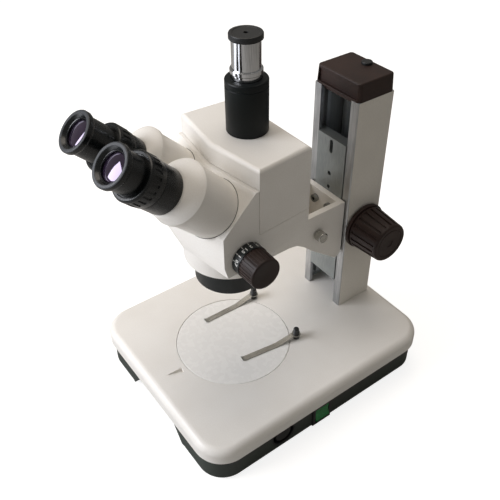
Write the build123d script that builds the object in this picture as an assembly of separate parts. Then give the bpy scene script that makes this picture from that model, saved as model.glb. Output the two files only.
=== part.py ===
from build123d import *
import os
from math import acos, cos, pi, radians, sin, tan

os.makedirs("parts", exist_ok=True)

# Levels in millimetres. The bench is at zero, the stage is the top of the base,
# and the optical axis stands on the middle of the stage.
FOOT_HEIGHT = 3.0
TRAY_HEIGHT = 28.5
COVER_HEIGHT = 18.0
TRAY_TOP = FOOT_HEIGHT + TRAY_HEIGHT
STAGE_Z = TRAY_TOP + COVER_HEIGHT

# Fits between pieces.
RUN_GAP = 0.05
SCREW_GAP = 0.1
PANEL_GAP = 0.3

# Base.
BASE_HALF_W = 112.5
BASE_FRONT = -101.0
BASE_REAR = 176.8
BASE_CORNER_R = 30.0
COVER_EDGE_R = 8.0
BASE_WALL = 3.0
TRAY_INSET = 3.0
TRAY_LIP_HEIGHT = 4.0
FOOT_R = 9.0
FOOT_INSET = 24.5
FOOT_X = BASE_HALF_W - FOOT_INSET
FOOT_FRONT_Y = -74.0
FOOT_REAR_Y = 150.0
FOOT_BORE_DEPTH = 1.8
BOSS_R = 6.0
BASE_SCREW_R = 2.0
BASE_SCREW_HEAD_R = 3.8
BASE_SCREW_LENGTH = 32.0
RECESS_BOTTOM_HALF_W = 48.0
RECESS_TOP_HALF_W = 33.0
RECESS_HEIGHT = 22.5
RECESS_DEPTH = 34.0

# Stage plate, its seat and the thumb notch in front of it.
PLATE_R = 60.0
PLATE_THICK = 5.0
PLATE_GAP = 0.4
LEDGE_WIDTH = 6.0
LEDGE_THICK = 3.0
NOTCH_WIDTH = 6.0
NOTCH_X = 3.0
NOTCH_GAP = 5.0
NOTCH_LENGTH = 18.0
NOTCH_DEPTH = 4.0

# Stage clips.
CLIP_X = 38.0
CLIP_Y = 55.0
CLIP_POST_R = 3.6
CLIP_PIN_R = 2.0
CLIP_POST_HEIGHT = 14.0
CLIP_BLADE_WIDTH = 6.0
CLIP_BLADE_THICK = 0.8
CLIP_BLADE_LENGTH = 65.0
CLIP_BLADE_RISE = 5.0
CLIP_BEND = 24.0
CLIP_FLOAT = 0.2
CLIP_SHOULDER = 2.0
CLIP_TIP_LENGTH = 3.0
CLIP_TIP_RISE = 1.2
CLIP_EYE_MARGIN = 1.2
CLIP_TOE_IN = {"left": -1.0, "right": -8.0}

# Lamp below the stage, its board and the controls in the base's right side.
LAMP_SINK_R = 26.0
LAMP_SINK_CORE_R = 12.0
LAMP_SINK_HEIGHT = 14.0
LAMP_FIN_COUNT = 12
LAMP_FIN_THICK = 1.6
LAMP_BOARD_R = 16.0
LAMP_BOARD_THICK = 1.6
LAMP_LED_R = 8.0
REFLECTOR_THROAT_R = 11.0
REFLECTOR_WALL = 1.2
BOARD_X = -58.0
BOARD_Y = 66.0
BOARD_LENGTH = 78.0
BOARD_WIDTH = 48.0
BOARD_THICK = 1.6
TRANSFORMER_BOX = (-24.0, -2.0, -12.0, 12.0, 16.0)
RELAY_BOX = (22.0, 34.0, -16.0, 16.0, 9.0)
CAPACITORS = ((6.0, 10.0, 8.0, 18.0), (4.0, 10.0, -10.0, 12.0))
STANDOFF_HEIGHT = 6.0
STANDOFF_R = 3.0
DIMMER_Y = -17.5
DIMMER_Z = 20.7
DIMMER_RECESS_R = 14.5
DIMMER_RECESS_DEPTH = 11.0
DIMMER_WALL = 2.0
DIMMER_KNOB_R = 9.5
DIMMER_KNOB_GROOVES = 16
DIMMER_GROOVE_R = 0.8
DIMMER_SHAFT_R = 3.0
DIMMER_CAN_R = 8.0
DIMMER_CAN_LENGTH = 10.0
SWITCH_Y = 31.0
SWITCH_Z = 17.4
SWITCH_FLANGE_W = 24.0
SWITCH_FLANGE_H = 27.0
SWITCH_FLANGE_THICK = 2.0
SWITCH_BODY_W = 20.5
SWITCH_BODY_H = 22.4
SWITCH_BODY_DEPTH = 16.0
ROCKER_R = 9.6
ROCKER_WIDTH = 17.0
ROCKER_TILT = 7.0
ROCKER_BACK = 3.0
ROCKER_CREST = 6.4
ROCKER_VALLEY = 4.6
ROCKER_PIVOT_R = 1.2
ROCKER_PIVOT_DEPTH = 3.5
INLET_INSET = 52.5
INLET_X = BASE_HALF_W - INLET_INSET
INLET_Z = 17.2
INLET_FLANGE_W = 44.0
INLET_FLANGE_H = 25.0
INLET_FLANGE_THICK = 2.0
INLET_BODY_W = 28.0
INLET_BODY_H = 21.0
INLET_BODY_DEPTH = 20.0
INLET_SOCKET_W = 24.5
INLET_SOCKET_H = 17.0
INLET_SOCKET_DEPTH = 15.0
INLET_PIN_PITCH = 7.0
INLET_PIN_THICK = 2.0
INLET_PIN_HEIGHT = 4.0
INLET_PIN_LENGTH = 12.0

# Pillar, an extruded channel that stands on the base and is open to the front.
PILLAR_HALF_W = 29.65
PILLAR_FRONT = 122.7
PILLAR_REAR = 167.5
PILLAR_HEIGHT = 249.3
PILLAR_WALL = 3.5
PILLAR_CORNER_R = 1.5
FLANGE_THICK = 4.0
FLANGE_WIDTH = 9.45
PILLAR_BOSS_R = 5.0
PILLAR_BOSS_X = 20.0
PILLAR_BOLT_R = 2.5
PILLAR_BOLT_HEAD_R = 4.3
PILLAR_BOLT_HEAD_HEIGHT = 4.0
PILLAR_BOLT_LENGTH = 20.0
CAP_HEIGHT = 17.7
CAP_TAPER = 3.7
CAP_EDGE_R = 1.6
CAP_SKIRT = 5.0
CAP_PANEL_DEPTH = 3.0
CAP_PANEL_MARGIN = 3.5
CAP_PLUG_R = 5.2
CAP_PLUG_HEIGHT = 2.5
CAP_PLUG_FROM_REAR = 9.0

# Focus slide, rack, pinion shaft and knobs.
SLIDE_HALF_W = 19.7
SLIDE_FRONT = 121.7
SLIDE_BOTTOM = STAGE_Z + 33.0
SLIDE_TOP = STAGE_Z + 202.0
SLOT_R = 2.2
SLOT_MARGIN = 2.1
SLOT_LENGTH = 10.0
SLIDE_HOLES = ((2.4, 40.0), (2.0, 55.7))
WING_THICK = 6.0
WING_SIDE_GAP = 0.5
RAIL_GAP = 0.06
RAIL_THICK = 4.0
RAIL_WIDTH = 5.0
RAIL_END_GAP = 10.0
SLIDE_UP = 40.0
SLIDE_DOWN = 30.0
SHAFT_Y = 145.0
SHAFT_Z = STAGE_Z + 106.0
SHAFT_R = 4.0
BUSH_R = 6.0
BUSH_FLANGE_R = 8.0
BUSH_FLANGE_THICK = 1.1
GEAR_TEETH = 14
FOCUS_MODULE = 1.0
PRESSURE_ANGLE = radians(20.0)
TOOTH_ADDENDUM = 0.8
TOOTH_DEDENDUM = 1.1
TOOTH_BACKLASH = 0.08
FOCUS_PINION_HALF_W = 6.0
FOCUS_RACK_HALF_W = 5.0
KNOB_START = 31.0
KNOB_FLANGE_R = 24.8
KNOB_FLANGE_THICK = 4.0
KNOB_NECK = 1.0
KNOB_NECK_R = 22.0
KNOB_LARGE_R = 23.3
KNOB_SMALL_R = 20.6
KNOB_LENGTH = 34.0
KNOB_FLUTES = 18
KNOB_FLUTE_R = 2.0
KNOB_RING_R = 16.0
KNOB_RING_WIDTH = 1.4
KNOB_RING_DEPTH = 0.6

# Arm bracket, an open-topped box that ends in the ring for the head.
ARM_HALF_W = 25.5
ARM_WALL = 6.2
ARM_TOP = STAGE_Z + 141.5
ARM_HEEL = STAGE_Z + 78.0
ARM_TOE = STAGE_Z + 71.6
ARM_UNDERSIDE = STAGE_Z + 116.6
ARM_CAVITY_FRONT = 46.0
RING_OUTER_R = 43.0
RING_BORE_R = 36.0
RING_BOTTOM = STAGE_Z + 126.0
RING_TOP = STAGE_Z + 150.0
ARM_SCREW_R = 2.5
ARM_SCREW_HEAD_R = 4.2
ARM_SCREW_HEAD_LENGTH = 4.0
ARM_SCREW_REACH = 4.5
ARM_SCREW_PLACES = ((-10.0, STAGE_Z + 130.0), (10.0, STAGE_Z + 130.0), (0.0, STAGE_Z + 100.0))
LOCK_Y = 87.5
LOCK_Z = STAGE_Z + 118.0
LOCK_HEAD_R = 5.6
LOCK_HEAD_LENGTH = 10.0
LOCK_SHANK_R = 3.0
LOCK_REACH = 4.0

# Head. Its front is a shallow V and the faces that carry the drums lean back.
HEAD_HALF_W = 58.35
HEAD_REAR_HALF_W = 54.0
HEAD_REAR = 49.0
HEAD_FRONT_SIDE = -43.8
HEAD_FRONT_MID = -52.4
HEAD_WALL = 3.5
HEAD_BOTTOM = STAGE_Z + 161.0
HEAD_BOTTOM_SLOPE = 5.5
HEAD_SHOULDER = STAGE_Z + 195.0
HEAD_NOSE_SEAM = STAGE_Z + 164.7
HEAD_NOSE_LEAN = 15.0
HEAD_TILT = 45.0
HEAD_VEE = 8.4
COVER_SEAM_Y = -8.0
COVER_SEAM_Z = STAGE_Z + 183.5
COVER_SILL = STAGE_Z + 227.5
COVER_TOP = STAGE_Z + 246.4
COVER_FRONT_SIDE = -7.5
COVER_FRONT_MID = -16.0
COVER_ROUND_R = 4.0
COVER_WALL = 3.0
SEAM_GAP = 0.3
COVER_SCREW_X = 36.0
COVER_SCREW_Z = STAGE_Z + 190.0
COVER_SCREW_R = 1.5
COVER_SCREW_HEAD_R = 3.0
LUG_HALF_W = 5.0
LUG_THICK = 5.0
BARREL_BORE_R = 31.0
BARREL_FLANGE_R = 41.5
SHROUD_R = 34.0
SHROUD_BOTTOM = STAGE_Z + 98.8
SHROUD_BORE_R = 29.0
SHROUD_THREAD_R = 24.0
SHROUD_THREAD_LENGTH = 5.0
SHROUD_NECK_LENGTH = 8.0
OBJECTIVE_LENS_R = 10.5
OBJECTIVE_LENS_X = 12.5
OBJECTIVE_WEB_Z = STAGE_Z + 116.0
OBJECTIVE_WEB_THICK = 4.0

# Zoom shaft with its knobs and dials, and the lens carrier that it moves.
ZOOM_Y = -21.8
ZOOM_Z = STAGE_Z + 167.0
ZOOM_SHAFT_R = 3.0
ZOOM_MODULE = 0.7
ZOOM_PINION_HALF_W = 4.0
ZOOM_TRAVEL = 12.0
DIAL_R = 15.3
DIAL_LENGTH = 9.4
DIAL_GAP = 0.3
ZOOM_KNOB_R = 14.8
ZOOM_KNOB_END_R = 14.5
ZOOM_KNOB_LENGTH = 18.0
ZOOM_KNOB_RIBS = 30
ZOOM_RIB_R = 0.7
CARRIER_BOTTOM = STAGE_Z + 172.0
CARRIER_THICK = 10.0
CARRIER_HALF_W = 42.0
CARRIER_HALF_D = 13.0
CARRIER_LENS_R = 9.0
CARRIER_LENS_X = 13.0
ROD_R = 2.0
ROD_X = 38.0
ROD_TOP = STAGE_Z + 215.0

# Drums, prism housings, eye tubes and eyepieces, on two axes that spread upwards.
DRUM_X = 29.56
DRUM_FOOT_Y = -35.57
DRUM_SPREAD = 3.0
DRUM_R = 25.8
DRUM_BORE_R = 22.0
DRUM_LENGTH = 38.0
HOUSING_GAP = 0.5
HOUSING_R = 27.3
HOUSING_RIM = 3.0
HOUSING_FRONT = 50.0
HOUSING_BORE_R = 19.8
HOUSING_SPIGOT = 8.0
HOUSING_FACE_R = 19.6
PRISM_WIDTH = 24.0
PRISM_DEPTH = 20.0
PRISM_HEIGHT = 18.0
EYE_IN = 4.6
EYE_DOWN = 5.4
EYE_REACH = 57.4
EYE_LENGTH = HOUSING_FRONT + EYE_REACH
SLEEVE_R = 15.7
SLEEVE_BORE_R = 14.05
SLEEVE_END = 21.0
COLLAR_R = 19.0
DIOPTER_R = 20.6
DIOPTER_LENGTH = 17.0
DIOPTER_START = {"left": 28.0, "right": 21.4}
DIOPTER_FLUTES = 24
DIOPTER_FLUTE_R = 1.1
CUP_R = 17.8
CUP_LENGTH = 5.0
EYEPIECE_R = 15.7
EYEPIECE_BARREL_LENGTH = 32.0
EYEPIECE_BORE_R = 12.0
EYE_LENS_R = 11.6
EYE_LENS_DEPTH = 3.0
EYE_LENS_THICK = 4.0

# Camera tube.
PHOTO_Y = 23.2
PHOTO_R = 18.2
PHOTO_TOP = STAGE_Z + 293.5
PHOTO_SPIGOT_R = 15.0
PHOTO_SPIGOT_LENGTH = 10.4
PHOTO_LOWER_BORE_R = 10.0
PHOTO_SHOULDER = STAGE_Z + 262.0
CHROME_LOWER_R = 12.3
CHROME_BOTTOM = STAGE_Z + 266.0
CHROME_COLLAR_R = 13.6
CHROME_COLLAR_BOTTOM = STAGE_Z + 298.0
CHROME_COLLAR_LENGTH = 4.0
CHROME_R = 12.0
CHROME_TOP = STAGE_Z + 328.4
CHROME_BORE_R = 10.6
DUST_CAP_R = 13.9
DUST_CAP_BOTTOM = STAGE_Z + 325.5
DUST_CAP_TOP = STAGE_Z + 330.5
SPLITTER_SIZE = 22.0

TRIM = 400.0
SIDES = {"left": -1, "right": 1}


def block(x0, x1, y0, y1, z0, z1):
    """Rectangular block between six planes."""
    middle = Pos((x0 + x1) / 2, (y0 + y1) / 2, (z0 + z1) / 2)
    return middle * Box(x1 - x0, y1 - y0, z1 - z0)


def rod_z(r, x, y, z0, z1):
    """Round bar along Z."""
    return Pos(x, y, (z0 + z1) / 2) * Cylinder(r, z1 - z0)


def rod_x(r, x0, x1, y, z):
    """Round bar along X."""
    return Pos((x0 + x1) / 2, y, z) * Rot(0, 90, 0) * Cylinder(r, x1 - x0)


def rod_y(r, x, y0, y1, z):
    """Round bar along Y."""
    return Pos(x, (y0 + y1) / 2, z) * Rot(90, 0, 0) * Cylinder(r, y1 - y0)


def slab(half_w, y0, y1, corner_r, z0, z1):
    """Plate with rounded upright corners."""
    outline = RectangleRounded(2 * half_w, y1 - y0, corner_r)
    return Pos(0, (y0 + y1) / 2, z0) * extrude(outline, amount=z1 - z0)


def prism_z(points, z0, z1):
    """Upright prism on a plan outline."""
    return Pos(0, 0, z0) * extrude(make_face(Polyline(*points, close=True)), amount=z1 - z0)


def prism_x(points, half_w):
    """Bar along X on a side outline of (y, z) points."""
    return extrude(Plane.YZ * make_face(Polyline(*points, close=True)), amount=half_w, both=True)


def turned(points):
    """Solid of revolution about Z on an outline of (radius, height) points."""
    return revolve(Plane.XZ * make_face(Polyline(*points, close=True)), Axis.Z)


def beyond(plane):
    """Large block on the outer side of a plane, to trim with."""
    return plane.location * Pos(0, 0, TRIM / 2) * Box(TRIM, TRIM, TRIM)


def both_sides(shape):
    """A piece and its mirror image across the middle plane."""
    return Compound(children=[shape, mirror(shape, about=Plane.YZ)])


def rack_outline(module, first, last, back):
    """Side outline of a rack: teeth towards +u, centred on v = 0, from first to last tooth."""
    pitch = pi * module
    half = pitch / 4 - TOOTH_BACKLASH
    tip_half = half - TOOTH_ADDENDUM * module * tan(PRESSURE_ANGLE)
    root_half = half + TOOTH_DEDENDUM * module * tan(PRESSURE_ANGLE)
    points = [(-back, (first - 0.5) * pitch)]
    points.append((-TOOTH_DEDENDUM * module, (first - 0.5) * pitch))
    for tooth in range(first, last + 1):
        middle = tooth * pitch
        points.append((-TOOTH_DEDENDUM * module, middle - root_half))
        points.append((TOOTH_ADDENDUM * module, middle - tip_half))
        points.append((TOOTH_ADDENDUM * module, middle + tip_half))
        points.append((-TOOTH_DEDENDUM * module, middle + root_half))
    points.append((-TOOTH_DEDENDUM * module, (last + 0.5) * pitch))
    points.append((-back, (last + 0.5) * pitch))
    return points


def pinion_outline(module, facing):
    """Outline of an involute pinion with a tooth gap at the facing angle."""
    pitch_r = module * GEAR_TEETH / 2
    base_r = pitch_r * cos(PRESSURE_ANGLE)
    tip_r = pitch_r + TOOTH_ADDENDUM * module
    root_r = pitch_r - TOOTH_DEDENDUM * module
    half_at_pitch = (pi * module / 4 - TOOTH_BACKLASH) / pitch_r
    radii = [base_r, (base_r + pitch_r) / 2, pitch_r, (pitch_r + tip_r) / 2, tip_r]

    def half_angle(radius):
        flank = acos(base_r / radius)
        return half_at_pitch + tan(PRESSURE_ANGLE) - PRESSURE_ANGLE - tan(flank) + flank

    points = []
    for tooth in range(GEAR_TEETH):
        middle = facing + 2 * pi * (tooth + 0.5) / GEAR_TEETH
        rising = [(root_r, middle - half_angle(base_r))]
        rising += [(radius, middle - half_angle(radius)) for radius in radii]
        falling = [(radius, 2 * middle - angle) for radius, angle in reversed(rising)]
        points += [(r * cos(a), r * sin(a)) for r, a in rising + falling]
    return points


# Base

def screw_places():
    """Plan positions of the four feet and their screws."""
    return [(x, y) for x in (-FOOT_X, FOOT_X) for y in (FOOT_FRONT_Y, FOOT_REAR_Y)]


def pillar_bolt_places():
    """Plan positions of the bosses inside the pillar's rear wall."""
    y = PILLAR_REAR - PILLAR_WALL - PILLAR_BOSS_R + 1.0
    return [(x, y) for x in (-PILLAR_BOSS_X, 0.0, PILLAR_BOSS_X)]


SEAT_R = PLATE_R + PLATE_GAP
PLATE_BOTTOM = STAGE_Z - PLATE_THICK
TRAY_FLOOR = FOOT_HEIGHT + BASE_WALL
COVER_UNDERSIDE = STAGE_Z - BASE_WALL


def thumb_notch():
    """Wedge cut in the stage, deepest beside the plate."""
    deep_y = -PLATE_R - NOTCH_GAP
    shallow_y = deep_y - NOTCH_LENGTH
    outline = [(deep_y, STAGE_Z - NOTCH_DEPTH), (deep_y, STAGE_Z + 1.0),
               (shallow_y, STAGE_Z + 1.0), (shallow_y, STAGE_Z)]
    return Pos(NOTCH_X, 0, 0) * prism_x(outline, NOTCH_WIDTH / 2)


def base_cover():
    """Painted cover with the seat for the stage plate and the screw bosses below it."""
    shell = slab(BASE_HALF_W, BASE_FRONT, BASE_REAR, BASE_CORNER_R, TRAY_TOP, STAGE_Z)
    shell = fillet(shell.edges().group_by(Axis.Z)[-1], COVER_EDGE_R)
    hollow = slab(BASE_HALF_W - BASE_WALL, BASE_FRONT + BASE_WALL, BASE_REAR - BASE_WALL,
                  BASE_CORNER_R - BASE_WALL, TRAY_TOP, COVER_UNDERSIDE)
    hollow = fillet(hollow.edges().group_by(Axis.Z)[-1], COVER_EDGE_R - BASE_WALL)
    cover = shell - hollow
    ledge_bottom = PLATE_BOTTOM - LEDGE_THICK
    cover += rod_z(SEAT_R + BASE_WALL, 0, 0, ledge_bottom, COVER_UNDERSIDE)
    notch_front = -PLATE_R - NOTCH_GAP - NOTCH_LENGTH
    cover += block(NOTCH_X - NOTCH_WIDTH, NOTCH_X + NOTCH_WIDTH, notch_front, -PLATE_R,
                   STAGE_Z - NOTCH_DEPTH - BASE_WALL, COVER_UNDERSIDE)
    for x, y in screw_places():
        cover += rod_z(BOSS_R, x, y, TRAY_FLOOR, COVER_UNDERSIDE)
        cover -= rod_z(BASE_SCREW_R + SCREW_GAP, x, y, 0, FOOT_HEIGHT + BASE_SCREW_LENGTH + 1.0)
    for side in SIDES.values():
        cover += rod_z(CLIP_PIN_R + BASE_WALL, side * CLIP_X, CLIP_Y, ledge_bottom, COVER_UNDERSIDE)
        cover -= rod_z(CLIP_PIN_R + RUN_GAP, side * CLIP_X, CLIP_Y, ledge_bottom, STAGE_Z + 1.0)
    cover -= rod_z(SEAT_R, 0, 0, PLATE_BOTTOM, STAGE_Z + 1.0)
    cover -= rod_z(SEAT_R - LEDGE_WIDTH, 0, 0, 0, STAGE_Z)
    cover -= thumb_notch()
    for x, y in pillar_bolt_places():
        cover -= rod_z(PILLAR_BOLT_R + SCREW_GAP, x, y, TRAY_TOP, STAGE_Z + 1.0)
    return cover


def recess_prism(grow, depth):
    """Trapezoid block for the hand recess in the tray's front."""
    front = BASE_FRONT + TRAY_INSET
    low, high = FOOT_HEIGHT, FOOT_HEIGHT + RECESS_HEIGHT + grow
    outline = [(-RECESS_BOTTOM_HALF_W - grow, low), (RECESS_BOTTOM_HALF_W + grow, low),
               (RECESS_TOP_HALF_W + grow, high), (-RECESS_TOP_HALF_W - grow, high)]
    face = Plane.XZ * make_face(Polyline(*outline, close=True))
    return Pos(0, front, 0) * extrude(face, amount=-depth)


def dimmer_hole(r, x0, x1):
    """Round bar on the dimmer's axis."""
    return rod_x(r, x0, x1, DIMMER_Y, DIMMER_Z)


TRAY_SIDE = BASE_HALF_W - TRAY_INSET
TRAY_REAR = BASE_REAR - TRAY_INSET


def base_tray():
    """Moulded tray that closes the base from below."""
    front = BASE_FRONT + TRAY_INSET
    corner = BASE_CORNER_R - TRAY_INSET
    tray = slab(TRAY_SIDE, front, TRAY_REAR, corner, FOOT_HEIGHT, TRAY_TOP)
    tray = chamfer(tray.edges().group_by(Axis.Z)[0], 1.0)
    inset = PANEL_GAP
    tray += slab(TRAY_SIDE - inset, front + inset, TRAY_REAR - inset, corner - inset,
                 TRAY_TOP, TRAY_TOP + TRAY_LIP_HEIGHT)
    tray -= slab(TRAY_SIDE - BASE_WALL, front + BASE_WALL, TRAY_REAR - BASE_WALL,
                 corner - BASE_WALL, TRAY_FLOOR, TRAY_TOP + TRAY_LIP_HEIGHT + 1.0)
    tray += recess_prism(BASE_WALL, RECESS_DEPTH + BASE_WALL)
    tray -= recess_prism(0.0, RECESS_DEPTH)
    for x, y in screw_places():
        tray -= rod_z(BASE_SCREW_R + SCREW_GAP, x, y, 0, TRAY_FLOOR + 1.0)
    for dx in (-0.5, 0.5):
        for dy in (-0.5, 0.5):
            x = BOARD_X + dx * (BOARD_LENGTH - 4 * STANDOFF_R)
            y = BOARD_Y + dy * (BOARD_WIDTH - 4 * STANDOFF_R)
            tray += rod_z(STANDOFF_R, x, y, TRAY_FLOOR, TRAY_FLOOR + STANDOFF_HEIGHT)
    tray -= dimmer_hole(DIMMER_RECESS_R + SCREW_GAP, TRAY_SIDE - 2 * BASE_WALL, BASE_HALF_W)
    half_w = SWITCH_BODY_W / 2 + SCREW_GAP
    half_h = SWITCH_BODY_H / 2 + SCREW_GAP
    tray -= block(TRAY_SIDE - 2 * BASE_WALL, BASE_HALF_W, SWITCH_Y - half_w, SWITCH_Y + half_w,
                  SWITCH_Z - half_h, SWITCH_Z + half_h)
    half_w = INLET_BODY_W / 2 + SCREW_GAP
    half_h = INLET_BODY_H / 2 + SCREW_GAP
    tray -= block(INLET_X - half_w, INLET_X + half_w, TRAY_REAR - 2 * BASE_WALL, BASE_REAR,
                  INLET_Z - half_h, INLET_Z + half_h)
    return tray


def rubber_feet():
    """Four rubber feet with a counterbore for the screw head."""
    feet = []
    for x, y in screw_places():
        foot = rod_z(FOOT_R, x, y, 0, FOOT_HEIGHT)
        foot = chamfer(foot.edges().group_by(Axis.Z)[0], 0.6)
        foot -= rod_z(BASE_SCREW_R + SCREW_GAP, x, y, 0, FOOT_HEIGHT)
        foot -= rod_z(BASE_SCREW_HEAD_R + PANEL_GAP, x, y, 0, FOOT_BORE_DEPTH)
        feet.append(foot)
    return Compound(children=feet)


def base_fasteners():
    """Four long screws from the feet into the cover, and three bolts up into the pillar."""
    screws = []
    for x, y in screw_places():
        head = rod_z(BASE_SCREW_HEAD_R, x, y, 0.4, FOOT_BORE_DEPTH)
        head -= block(x - 3.0, x + 3.0, y - 0.5, y + 0.5, 0.4, 1.2)
        screws.append(head + rod_z(BASE_SCREW_R, x, y, FOOT_BORE_DEPTH, FOOT_HEIGHT + BASE_SCREW_LENGTH))
    for x, y in pillar_bolt_places():
        head = rod_z(PILLAR_BOLT_HEAD_R, x, y, COVER_UNDERSIDE - PILLAR_BOLT_HEAD_HEIGHT, COVER_UNDERSIDE)
        screws.append(head + rod_z(PILLAR_BOLT_R, x, y, COVER_UNDERSIDE,
                                   COVER_UNDERSIDE + PILLAR_BOLT_LENGTH))
    return Compound(children=screws)


def stage_plate():
    """Round contrast plate with a bevelled edge."""
    plate = rod_z(PLATE_R, 0, 0, PLATE_BOTTOM, STAGE_Z)
    return chamfer(plate.edges().group_by(Axis.Z)[-1], 0.5)


def clip_post(side):
    """Turned post with a waist for the blade, pivoting on its pin in the base."""
    seat = STAGE_Z + CLIP_FLOAT
    waist = STAGE_Z + CLIP_BLADE_RISE
    top = STAGE_Z + CLIP_POST_HEIGHT
    foot = PLATE_BOTTOM - LEDGE_THICK
    post = turned([(0, foot), (CLIP_PIN_R, foot), (CLIP_PIN_R, seat), (CLIP_POST_R, seat),
                   (CLIP_POST_R, waist), (CLIP_PIN_R, waist),
                   (CLIP_PIN_R, waist + CLIP_BLADE_THICK), (CLIP_POST_R, waist + CLIP_BLADE_THICK),
                   (CLIP_POST_R, top - 4.5), (CLIP_POST_R - 0.6, top - 4.0),
                   (CLIP_POST_R - 0.6, top - 1.0), (CLIP_POST_R - 1.4, top), (0, top)])
    return Pos(SIDES[side] * CLIP_X, CLIP_Y, 0) * post


def clip_blade(side):
    """Spring blade: eye round the post, ramp down to the plate, flat run and turned-up tip."""
    high = CLIP_BLADE_RISE
    low = CLIP_FLOAT
    thick = CLIP_BLADE_THICK
    shoulder = -CLIP_POST_R - CLIP_SHOULDER
    tip = -CLIP_BLADE_LENGTH
    flat_end = tip + CLIP_TIP_LENGTH
    lower = [(0, high), (shoulder, high), (-CLIP_BEND, low), (flat_end, low), (tip, low + CLIP_TIP_RISE)]
    upper = [(y, z + thick) for y, z in reversed(lower)]
    blade = prism_x(lower + upper, CLIP_BLADE_WIDTH / 2)
    blade += rod_z(CLIP_POST_R + CLIP_EYE_MARGIN, 0, 0, high, high + thick)
    blade -= rod_z(CLIP_PIN_R + RUN_GAP, 0, 0, 0, high + 2 * thick)
    place = Pos(SIDES[side] * CLIP_X, CLIP_Y, STAGE_Z)
    return place * Rot(0, 0, CLIP_TOE_IN[side]) * blade


# Lamp and electrics

SINK_TOP = TRAY_FLOOR + LAMP_SINK_HEIGHT
LAMP_TOP = SINK_TOP + LAMP_BOARD_THICK


def lamp_heatsink():
    """Finned aluminium block under the lamp board."""
    sink = rod_z(LAMP_SINK_CORE_R, 0, 0, TRAY_FLOOR, SINK_TOP)
    sink += rod_z(LAMP_BOARD_R, 0, 0, SINK_TOP - 2.0, SINK_TOP)
    for index in range(LAMP_FIN_COUNT):
        fin = block(0, LAMP_SINK_R, -LAMP_FIN_THICK / 2, LAMP_FIN_THICK / 2, TRAY_FLOOR, SINK_TOP)
        sink += Rot(0, 0, 360 * index / LAMP_FIN_COUNT) * fin
    return sink


def lamp_board():
    """Round board with the domed light source in its middle."""
    board = rod_z(LAMP_BOARD_R, 0, 0, SINK_TOP, LAMP_TOP)
    dome_r = 2 * LAMP_LED_R
    dome = Pos(0, 0, LAMP_TOP - dome_r * cos(radians(30.0))) * Sphere(dome_r)
    return board + (dome & rod_z(LAMP_LED_R, 0, 0, LAMP_TOP, LAMP_TOP + LAMP_LED_R))


def lamp_reflector():
    """Spun cone that spreads the light over the plate."""
    rim_r = SEAT_R - LEDGE_WIDTH - 1.0
    rim_z = PLATE_BOTTOM - LEDGE_THICK - PANEL_GAP
    throat = REFLECTOR_THROAT_R
    wall = REFLECTOR_WALL
    return turned([(throat, LAMP_TOP), (throat + 3 * wall, LAMP_TOP), (rim_r, rim_z - wall),
                   (rim_r, rim_z), (rim_r - wall, rim_z), (throat + wall, LAMP_TOP + wall),
                   (throat, LAMP_TOP + wall)])


def power_board():
    """Circuit board on the tray's standoffs with its larger components."""
    low = TRAY_FLOOR + STANDOFF_HEIGHT
    high = low + BOARD_THICK
    x0 = BOARD_X - BOARD_LENGTH / 2
    y0 = BOARD_Y - BOARD_WIDTH / 2
    board = block(x0, x0 + BOARD_LENGTH, y0, y0 + BOARD_WIDTH, low, high)
    for left, right, front, rear, tall in (TRANSFORMER_BOX, RELAY_BOX):
        board += block(BOARD_X + left, BOARD_X + right, BOARD_Y + front, BOARD_Y + rear, high, high + tall)
    for r, dx, dy, tall in CAPACITORS:
        board += rod_z(r, BOARD_X + dx, BOARD_Y + dy, high, high + tall)
    return board


def power_inlet():
    """Three-pin inlet in the rear wall."""
    inner = TRAY_REAR - INLET_BODY_DEPTH
    outer = TRAY_REAR + INLET_FLANGE_THICK
    x, z = INLET_X, INLET_Z
    inlet = block(x - INLET_BODY_W / 2, x + INLET_BODY_W / 2, inner, TRAY_REAR,
                  z - INLET_BODY_H / 2, z + INLET_BODY_H / 2)
    inlet += block(x - INLET_FLANGE_W / 2, x + INLET_FLANGE_W / 2, TRAY_REAR, outer,
                   z - INLET_FLANGE_H / 2, z + INLET_FLANGE_H / 2)
    inlet = chamfer(inlet.edges().filter_by(Axis.Y).group_by(Axis.Y)[-1], 3.0)
    floor = outer - INLET_SOCKET_DEPTH
    socket = block(x - INLET_SOCKET_W / 2, x + INLET_SOCKET_W / 2, floor, outer,
                   z - INLET_SOCKET_H / 2, z + INLET_SOCKET_H / 2)
    socket = chamfer(socket.edges().filter_by(Axis.Y).group_by(Axis.Z)[-1], 4.0)
    inlet -= socket
    for step, lift in ((-1, 0.0), (0, 2.0), (1, 0.0)):
        pin_x = x + step * INLET_PIN_PITCH
        pin_z = z - 4.0 + lift
        inlet += block(pin_x - INLET_PIN_THICK / 2, pin_x + INLET_PIN_THICK / 2,
                       floor, floor + INLET_PIN_LENGTH,
                       pin_z - INLET_PIN_HEIGHT / 2, pin_z + INLET_PIN_HEIGHT / 2)
    return inlet


def dimmer_cup():
    """Round cup let into the tray's side."""
    inner = TRAY_SIDE - DIMMER_RECESS_DEPTH
    cup = dimmer_hole(DIMMER_RECESS_R, inner, TRAY_SIDE)
    cup -= dimmer_hole(DIMMER_RECESS_R - DIMMER_WALL, inner + DIMMER_WALL, TRAY_SIDE)
    return cup - dimmer_hole(DIMMER_SHAFT_R + PANEL_GAP, inner, TRAY_SIDE)


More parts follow.
